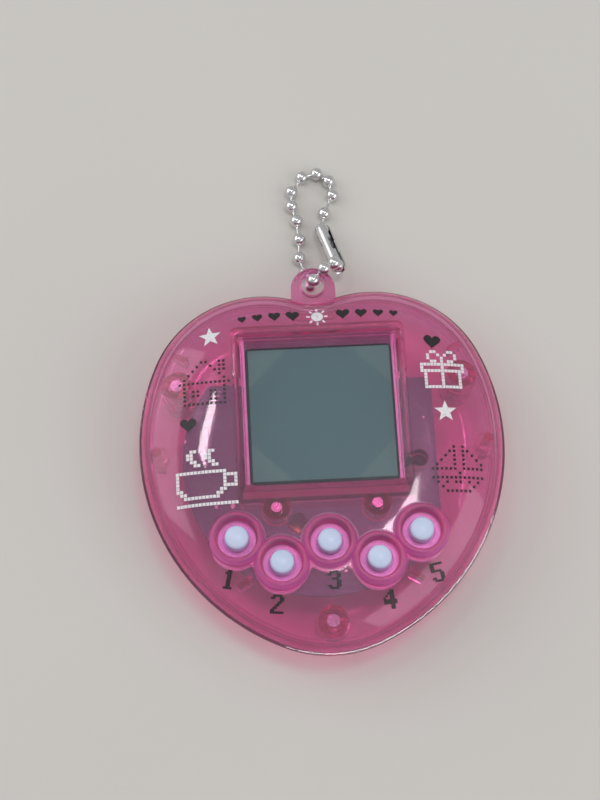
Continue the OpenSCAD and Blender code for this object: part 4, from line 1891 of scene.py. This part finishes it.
@dataclass
class BallChain:
    """The chain through the tab: balls, wire links and the folded clasp.

    Attributes:
        steel: Material of the balls and links.
        clasp_steel: Material of the clasp.
        ball: Radius of a ball.
        wire: Radius of a link.
        hole_y: Y of the tab hole's axis, from which places are counted.
        hook: The balls from the clasp's closed end through the tab's hole.
        clasp_end: The ball in the clasp's other end.
        slot_side: The side to which the clasp's slot opens.
        left: The balls of the left run, nearest first.
        right: The ball of the right run.
        left_far: The ball after the left run's fold.
        right_far: The ball after the right run's fold.
        ends: The balls of the far bend, from the left to the right.
        sunk: How far a link's end lies inside its ball.
        clasp_inner: Inner radius of the clasp's tube.
        clasp_wall: Thickness of its sheet.
        clasp_slot: Degrees that its slot takes of the turn.
    """

    steel: bpy.types.Material
    clasp_steel: bpy.types.Material
    ball: float = 1.2
    wire: float = 0.3
    hole_y: float = OUTLINE.length / 2 + 2.1
    hook: tuple[Place, ...] = (
        (4.9, 4.7, 4.4),
        (4.1, 4.0, 7.3),
        (2.1, 2.3, 9.15),
        (0.15, 0.7, 7.6),
        (-0.35, 0.95, 4.0),
        (-1.1, 4.2, 2.4),
    )
    clasp_end: Place = (2.7, 12.8, 1.8)
    slot_side: Place = (0.75, 0.0, 0.66)
    left: tuple[Place, ...] = ((-1.9, 7.7, 1.3), (-1.75, 11.5, 1.2), (-2.05, 15.3, 1.2))
    right: Place = (3.2, 16.55, 1.2)
    left_far: Place = (-2.8, 18.3, 1.2)
    right_far: Place = (4.9, 20.2, 1.2)
    ends: tuple[Place, ...] = (
        (-2.7, 21.2, 1.2),
        (-0.6, 24.1, 1.2),
        (2.2, 24.7, 1.2),
        (4.4, 23.1, 1.2),
    )
    sunk: float = 0.06
    clasp_inner: float = 1.4
    clasp_wall: float = 0.25
    clasp_slot: float = 58.0

    def spot(self, place: Place) -> Vector:
        """A place of the chain in the object's frame."""
        return Vector(place) + Vector((0.0, self.hole_y, 0.0))

    def bead(self, place: Place, towards: Sequence[Place]) -> Solid:
        """A hollow ball with a small lip round each hole that a link enters.

        Args:
            place: The ball's middle.
            towards: The middles of the balls that it is linked to.

        Returns:
            The ball.
        """
        solid = Solid()
        bmesh.ops.create_uvsphere(solid.bm, u_segments=32, v_segments=20, radius=self.ball)
        stands = [along(self.spot(place), self.spot(other)) for other in towards]
        lip = [(0.0, 1.0), (0.5, 1.0), (0.5, 1.12), (0.46, 1.2), (0.38, 1.22), (0.34, 1.18)]
        lip.append((0.0, 1.16))
        lips = [Solid.turned(lip, steps=20).moved(stand) for stand in stands]
        return solid.moved(stands[0]).with_all(lips)

    def link(self, start: Place, end: Place) -> Solid:
        """A wire between two balls, a little thinner in its middle.

        Args:
            start: Middle of its first ball.
            end: Middle of its second ball.

        Returns:
            The wire.
        """
        a, b = self.spot(start), self.spot(end)
        length = (b - a).length
        low, high = self.ball - self.sunk, length - self.ball + self.sunk
        waist = self.wire * 0.86
        profile = [
            (0.0, low),
            (self.wire, low),
            (self.wire, low + 0.15),
            (waist, low + 0.35 * (high - low)),
            (waist, low + 0.65 * (high - low)),
            (self.wire, high - 0.15),
            (self.wire, high),
            (0.0, high),
        ]
        return Solid.turned(profile, steps=16).moved(along(a, b))

    def balls(self, run: str, places: Sequence[Place]) -> None:
        """Makes the balls of one run of the chain.

        Args:
            run: The run's name.
            places: The balls' middles.
        """
        made = Solid().with_all(self.bead(place, self.neighbours(place)) for place in places)
        body, nodes = f"chain_{run}", [f"chain_{run}_balls"]
        made.piece(f"{run}_beads", body, self.steel, "chain_steel", nodes, sharp=40.0)

    def links(self, run: str, pairs: Sequence[tuple[Place, Place]]) -> None:
        """Makes the links of one run of the chain.

        Args:
            run: The run's name.
            pairs: The two balls of each link.
        """
        made = Solid().with_all(self.link(*pair) for pair in pairs)
        body, nodes = f"chain_{run}", [f"chain_{run}_links"]
        made.piece(f"{run}_wires", body, self.steel, "chain_steel", nodes)

    def clasp(self) -> None:
        """Rolls the clasp from sheet: a split tube whose ends close round a ball."""
        start, end = self.spot(self.hook[0]), self.spot(self.clasp_end)
        length = (end - start).length
        middle = self.clasp_inner + self.clasp_wall / 2
        solid = Solid()
        bm = solid.bm
        first = bm.verts.new((middle, 0.0, 0.0))
        solid.rotated(self.clasp_slot / 2)
        turn = math.radians(360.0 - self.clasp_slot)
        bmesh.ops.spin(bm, geom=[first], cent=(0, 0, 0), axis=(0, 0, 1), angle=turn, steps=30)
        ring = bm.edges[:]
        cup = [math.radians(a) for a in (-46.0, -36.0, -24.0, -12.0, 0.0)]
        levels = [(middle * math.sin(a), middle * math.cos(a)) for a in cup]
        waist = [1.0 - 0.03 * math.sin(math.pi * k / 6) for k in range(7)]
        levels += [(length * k / 6, middle * waist[k]) for k in range(1, 6)]
        levels += [(length - z, r) for z, r in reversed(levels[:5])]
        z, radius = levels[0]
        self.place_ring(bm.verts[:], z, radius)
        for z, radius in levels[1:]:
            made = bmesh.ops.extrude_edge_only(bm, edges=ring)["geom"]
            fresh = {v for v in made if isinstance(v, bmesh.types.BMVert)}
            edges = [e for e in made if isinstance(e, bmesh.types.BMEdge)]
            ring = [e for e in edges if fresh.issuperset(e.verts)]
            self.place_ring({v for e in ring for v in e.verts}, z, radius)
        window = [f for f in bm.faces if self.in_window(f, length)]
        bmesh.ops.delete(bm, geom=window, context="FACES")
        solid.outward()
        bmesh.ops.solidify(bm, geom=bm.faces[:], thickness=self.clasp_wall)
        stand = along(start, end)
        aim = stand.to_3x3().inverted() @ Vector(self.slot_side)
        solid.moved(stand @ Matrix.Rotation(math.atan2(aim.y, aim.x), 4, "Z"))
        solid.piece("clasp_sheet", "chain_near", self.clasp_steel, "chain_steel", ["chain_clasp"])

    @staticmethod
    def in_window(face: bmesh.types.BMFace, length: float) -> bool:
        """Looks whether a face is in the round opening through which a ball goes in.

        Args:
            face: The face.
            length: Length of the clasp.

        Returns:
            Whether it lies there.
        """
        centre = face.calc_center_median()
        across = math.atan2(centre.y, centre.x)
        return math.hypot((centre.z - length / 2) / 1.35, across / 0.95) < 1.0

    @staticmethod
    def place_ring(verts: Iterable[bmesh.types.BMVert], z: float, radius: float) -> None:
        """Puts a ring of vertices at a height and a radius."""
        for vert in verts:
            flat = Vector((vert.co.x, vert.co.y)).normalized() * radius
            vert.co = Vector((flat.x, flat.y, z))

    @property
    def whole(self) -> list[Place]:
        """Every ball in its order, from the clasp's closed end round to its other end."""
        far = (self.left_far, *self.ends, self.right_far)
        return [*self.hook, *self.left, *far, self.right, self.clasp_end]

    def neighbours(self, place: Place) -> list[Place]:
        """The balls before and after one along the chain.

        Args:
            place: The ball's middle.

        Returns:
            The middles of its neighbours.
        """
        whole = self.whole
        i = whole.index(place)
        return [whole[k] for k in (i - 1, i + 1) if 0 <= k < len(whole)]

    def build(self) -> None:
        """Makes the whole chain."""
        self.balls("hook", self.hook)
        self.balls("near", [*self.left, self.right, self.clasp_end])
        self.balls("end", [self.left_far, *self.ends, self.right_far])
        pairs = list(zip(self.whole, self.whole[1:]))
        self.links("hook", pairs[:5])
        self.links("near", [*pairs[5:8], (self.clasp_end, self.right)])
        self.links("middle", [pairs[8], (self.right, self.right_far)])
        self.links("end", pairs[9:14])
        self.clasp()


# ---------------------------------------------------------------- parts inside the case


@dataclass
class Internals:
    """Finishes for the CAD parts that are seen through the shells.

    Attributes:
        finishes: The finish of each CAD part.
        nodes: The CAD parts.
        travel: How far a button goes down.
    """

    finishes: dict[str, bpy.types.Material]
    nodes: dict[str, bpy.types.Object]
    travel: float = 0.8

    def dress(self) -> None:
        """Gives each CAD part its finish."""
        for name, finish in self.finishes.items():
            mesh = self.nodes[name].data
            mesh.materials.clear()
            mesh.materials.append(finish)
            LOG.info("%s: dressed in %s", name, finish.name)

    def give_way(self) -> None:
        """Gives each rubber dome a mesh of its own; the domes are not flattened."""
        for number, (x, y) in enumerate(BUTTONS, 1):
            dome = self.nodes[f"key_dome_{number}"]
            height = max(vert.co.z for vert in dome.data.vertices) / MM - BOARD_TOP
            foot = (x * MM, y * MM, BOARD_TOP * MM)
            1 - self.travel / height
            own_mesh(dome)


def inner_finishes() -> dict[str, bpy.types.Material]:
    """Builds the finishes of the parts inside the case.

    Returns:
        The finish of each CAD part that stays.
    """
    epoxy = Finish(
        "black_epoxy", (0.012, 0.012, 0.014), (0.03, 0.03, 0.034), 1.5, 0.25, 0.12,
        grain=1.2, depth=0.05,
    )
    tin = Finish("tinned_steel", (0.62, 0.62, 0.60), (0.46, 0.46, 0.45), 0.8, 0.32, 0.14, 1.0)
    ceramic = Finish("ceramic_chips", (0.52, 0.40, 0.26), (0.66, 0.62, 0.55), 0.6, 0.5, 0.12)
    carbon = Finish("carbon_pads", (0.02, 0.02, 0.022), (0.045, 0.045, 0.05), 0.5, 0.6, 0.15)
    silicone = Finish(
        "silicone_rubber", (0.72, 0.70, 0.73), (0.80, 0.78, 0.80), 2.5, 0.5, 0.12, depth=0.01
    )
    zinc = Finish(
        "zinc_screws", (0.60, 0.60, 0.61), (0.40, 0.41, 0.43), 0.5, 0.3, 0.15, 1.0, 0.1, 0.01
    )
    brass = Finish("rolled_brass", (0.70, 0.47, 0.17), (0.58, 0.38, 0.14), 1.6, 0.28, 0.12, 1.0)
    silvered = Finish("silvered_ceramic", (0.66, 0.65, 0.60), (0.54, 0.53, 0.48), 1.2, 0.4, 0.15)
    cover = Finish("wire_cover", (0.45, 0.02, 0.02), (0.55, 0.04, 0.03), 1.0, 0.4, 0.1)
    can = Finish("nickel_cans", (0.66, 0.66, 0.64), (0.54, 0.54, 0.52), 1.8, 0.26, 0.12, 1.0)
    spring = Finish("spring_steel", (0.58, 0.57, 0.54), (0.45, 0.44, 0.42), 0.9, 0.3, 0.12, 1.0)
    foam = Finish(
        "foam_tape", (0.72, 0.72, 0.70), (0.60, 0.60, 0.58), 0.5, 0.85, 0.1, grain=0.3, depth=0.05
    )
    zebra = Finish("layered_rubber", (0.42, 0.03, 0.07), (0.28, 0.02, 0.05), 0.4, 0.6, 0.1)
    made = {
        "main_board": Laminate(),
        "chip_blob": epoxy,
        "crystal_can": tin,
        "chip_components": ceramic,
        "key_contacts": carbon,
        "keypad_sheet": silicone,
        "case_screws": zinc,
        "board_screws": zinc,
        "battery_door_screw": zinc,
        "buzzer_disc": brass,
        "buzzer_ceramic": silvered,
        "buzzer_wires": cover,
        "battery_cell_1": can,
        "battery_cell_2": can,
        "battery_bridge": spring,
        "battery_contact_positive": spring,
        "battery_contact_negative": spring,
        "display_foam": foam,
        "zebra_strip": zebra,
        **{f"key_dome_{k}": silicone for k in range(1, 6)},
    }
    built = {finish: finish.build() for finish in dict.fromkeys(made.values())}
    return {node: built[finish] for node, finish in made.items()}


# ---------------------------------------------------------------- studio


@dataclass
class Studio:
    """Pale floor, soft lamps and the camera.

    Attributes:
        aim: The point in millimetres that the camera looks at.
        distance: Distance from it in millimetres.
        azimuth: Degrees that the camera stands to the left of the object's lower end.
        elevation: Degrees above the horizon.
        roll: Degrees that the camera is turned about its own axis.
        focal: Focal length as a share of the view's height.
        floor_gap: How far in millimetres the floor lies under the rear face.
        sky: Strength of the even light from all sides.
    """

    aim: Place = (-3.45, 12.75, 8.0)
    distance: float = 320.0
    azimuth: float = 5.5
    elevation: float = 71.4
    roll: float = 2.6
    focal: float = 1822.7 / 800
    floor_gap: float = 0.04
    sky: float = 0.45

    def floor(self) -> None:
        """A wide floor just under the rear face."""
        bm = bmesh.new()
        place = Matrix.Translation((0, 0, -self.floor_gap * MM))
        bmesh.ops.create_grid(bm, x_segments=1, y_segments=1, size=3.0, matrix=place)
        mesh = bpy.data.meshes.new("floor")
        bm.to_mesh(mesh)
        bm.free()
        floor = bpy.data.objects.new("floor", mesh)
        bpy.context.scene.collection.objects.link(floor)
        shader = Shader("pale_floor")
        cloud = shader.noise(shader.place(), 60.0, 3.0)
        pale = shader.opaque(
            Base_Color=shader.blend(cloud, (0.66, 0.64, 0.61), (0.63, 0.61, 0.58)),
            Roughness=0.7,
            Specular_IOR_Level=0.2,
        )
        mesh.materials.append(pale)
        floor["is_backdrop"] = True

    def lamp(self, name: str, at: Place, size: Flat, watts: float) -> None:
        """A rectangular lamp that faces the object.

        Args:
            name: The lamp's name.
            at: Its place in metres.
            size: Its width and height in metres.
            watts: Its power.
        """
        light = bpy.data.lights.new(name, "AREA")
        light.shape = "RECTANGLE"
        light.size, light.size_y = size
        light.energy = watts
        lamp = bpy.data.objects.new(name, light)
        bpy.context.scene.collection.objects.link(lamp)
        lamp.location = at
        aim = Vector((0, 0.01, 0.01)) - Vector(at)
        lamp.rotation_euler = aim.to_track_quat("-Z", "Y").to_euler()

    def lamps(self) -> None:
        """Two broad soft lamps, two small bright panels and an even sky."""
        self.lamp("window_lamp", (-0.70, 0.30, 0.45), (0.90, 0.60), 2.2)
        self.lamp("fill_lamp", (0.60, -0.35, 0.45), (0.80, 0.50), 1.8)
        self.lamp("panel_right", (0.068, 0.050, 0.50), (0.066, 0.142), 0.38)
        self.lamp("panel_left", (-0.160, 0.172, 0.50), (0.110, 0.036), 0.18)
        world = bpy.data.worlds.new("studio")
        bpy.context.scene.world = world
        world.use_nodes = True
        sky = world.node_tree.nodes["Background"]
        sky.inputs["Color"].default_value = (1.0, 1.0, 1.0, 1.0)
        sky.inputs["Strength"].default_value = self.sky

    def camera(self) -> None:
        """The camera at its place."""
        data = bpy.data.cameras.new("camera")
        camera = bpy.data.objects.new("camera", data)
        bpy.context.scene.collection.objects.link(camera)
        data.sensor_width = 36.0
        data.lens = self.focal * data.sensor_width
        data.clip_start, data.clip_end = 0.01, 20.0
        tilt, side = math.radians(self.elevation), math.radians(self.azimuth)
        level = Vector((math.sin(side), math.cos(side), 0.0))
        back = Vector((0.0, 0.0, math.sin(tilt))) - level * math.cos(tilt)
        right = Vector((math.cos(side), -math.sin(side), 0.0))
        turned = Matrix.Rotation(math.radians(self.roll), 3, back)
        right, up = turned @ right, turned @ back.cross(right)
        place = (Vector(self.aim) + back * self.distance) * MM
        axes = Matrix((right, up, back)).transposed().to_4x4()
        camera.matrix_world = Matrix.Translation(place) @ axes
        bpy.context.scene.camera = camera

    def build(self) -> None:
        """Makes the studio."""
        self.floor()
        self.lamps()
        self.camera()
        bpy.context.scene.view_settings.view_transform = "Standard"
        cycles = bpy.context.scene.cycles
        cycles.max_bounces = cycles.transmission_bounces = cycles.transparent_max_bounces = 24


def corners(box: tuple[Vector, Vector]) -> list[list[float]]:
    """A box as plain lists of numbers."""
    return [list(corner) for corner in box]


def main() -> None:
    """Builds every part of the object in order."""
    logging.basicConfig(level=logging.INFO, format="%(message)s")
    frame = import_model()
    cad_box = corners(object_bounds())
    Studio().build()
    pink = TintedPlastic("pink_plastic").build()
    dome = FrontShell(pink).build()
    RearShell(pink).build()
    BatteryDoor(TintedPlastic("door_plastic", roughness=0.12).build()).build()
    glass = ClearPane("thin_glass", (0.86, 0.93, 0.90)).build()
    backing = Finish(
        "reflector_film", (0.10, 0.15, 0.14), (0.13, 0.18, 0.17), 3.0, 0.35, 0.1
    ).build()
    # The upper glass's edges carry painted shade and painted highlights round the display.
    edge = PaintedLightEdge().build()
    DisplayStack(ClearPane().build(), LiquidCrystal().build(), edge, glass, backing).build()
    caps = Finish(
        "white_caps", (0.60, 0.68, 0.89), (0.56, 0.64, 0.85), 3.0, 0.34, 0.08, depth=0.003
    ).build()
    for number, at in enumerate(BUTTONS, 1):
        ButtonCap(caps, number, at).build()
    white = Ink("white_ink", (0.80, 0.79, 0.82), (0.62, 0.58, 0.64)).build()
    black = Ink("black_ink", (0.012, 0.011, 0.014), (0.03, 0.024, 0.03)).build()
    Prints(white, black, BVHTree.FromBMesh(dome.bm)).build()
    dome.bm.free()
    nickel, duller = Plated("bright_nickel"), Plated("clasp_nickel", roughness=0.2)
    BallChain(nickel.build(), duller.build()).build()
    inside = Internals(inner_finishes(), frame["nodes"])
    inside.dress()
    inside.give_way()
    {"cad": cad_box, "visual": corners(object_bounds())}


if __name__ == "__main__":
    main()
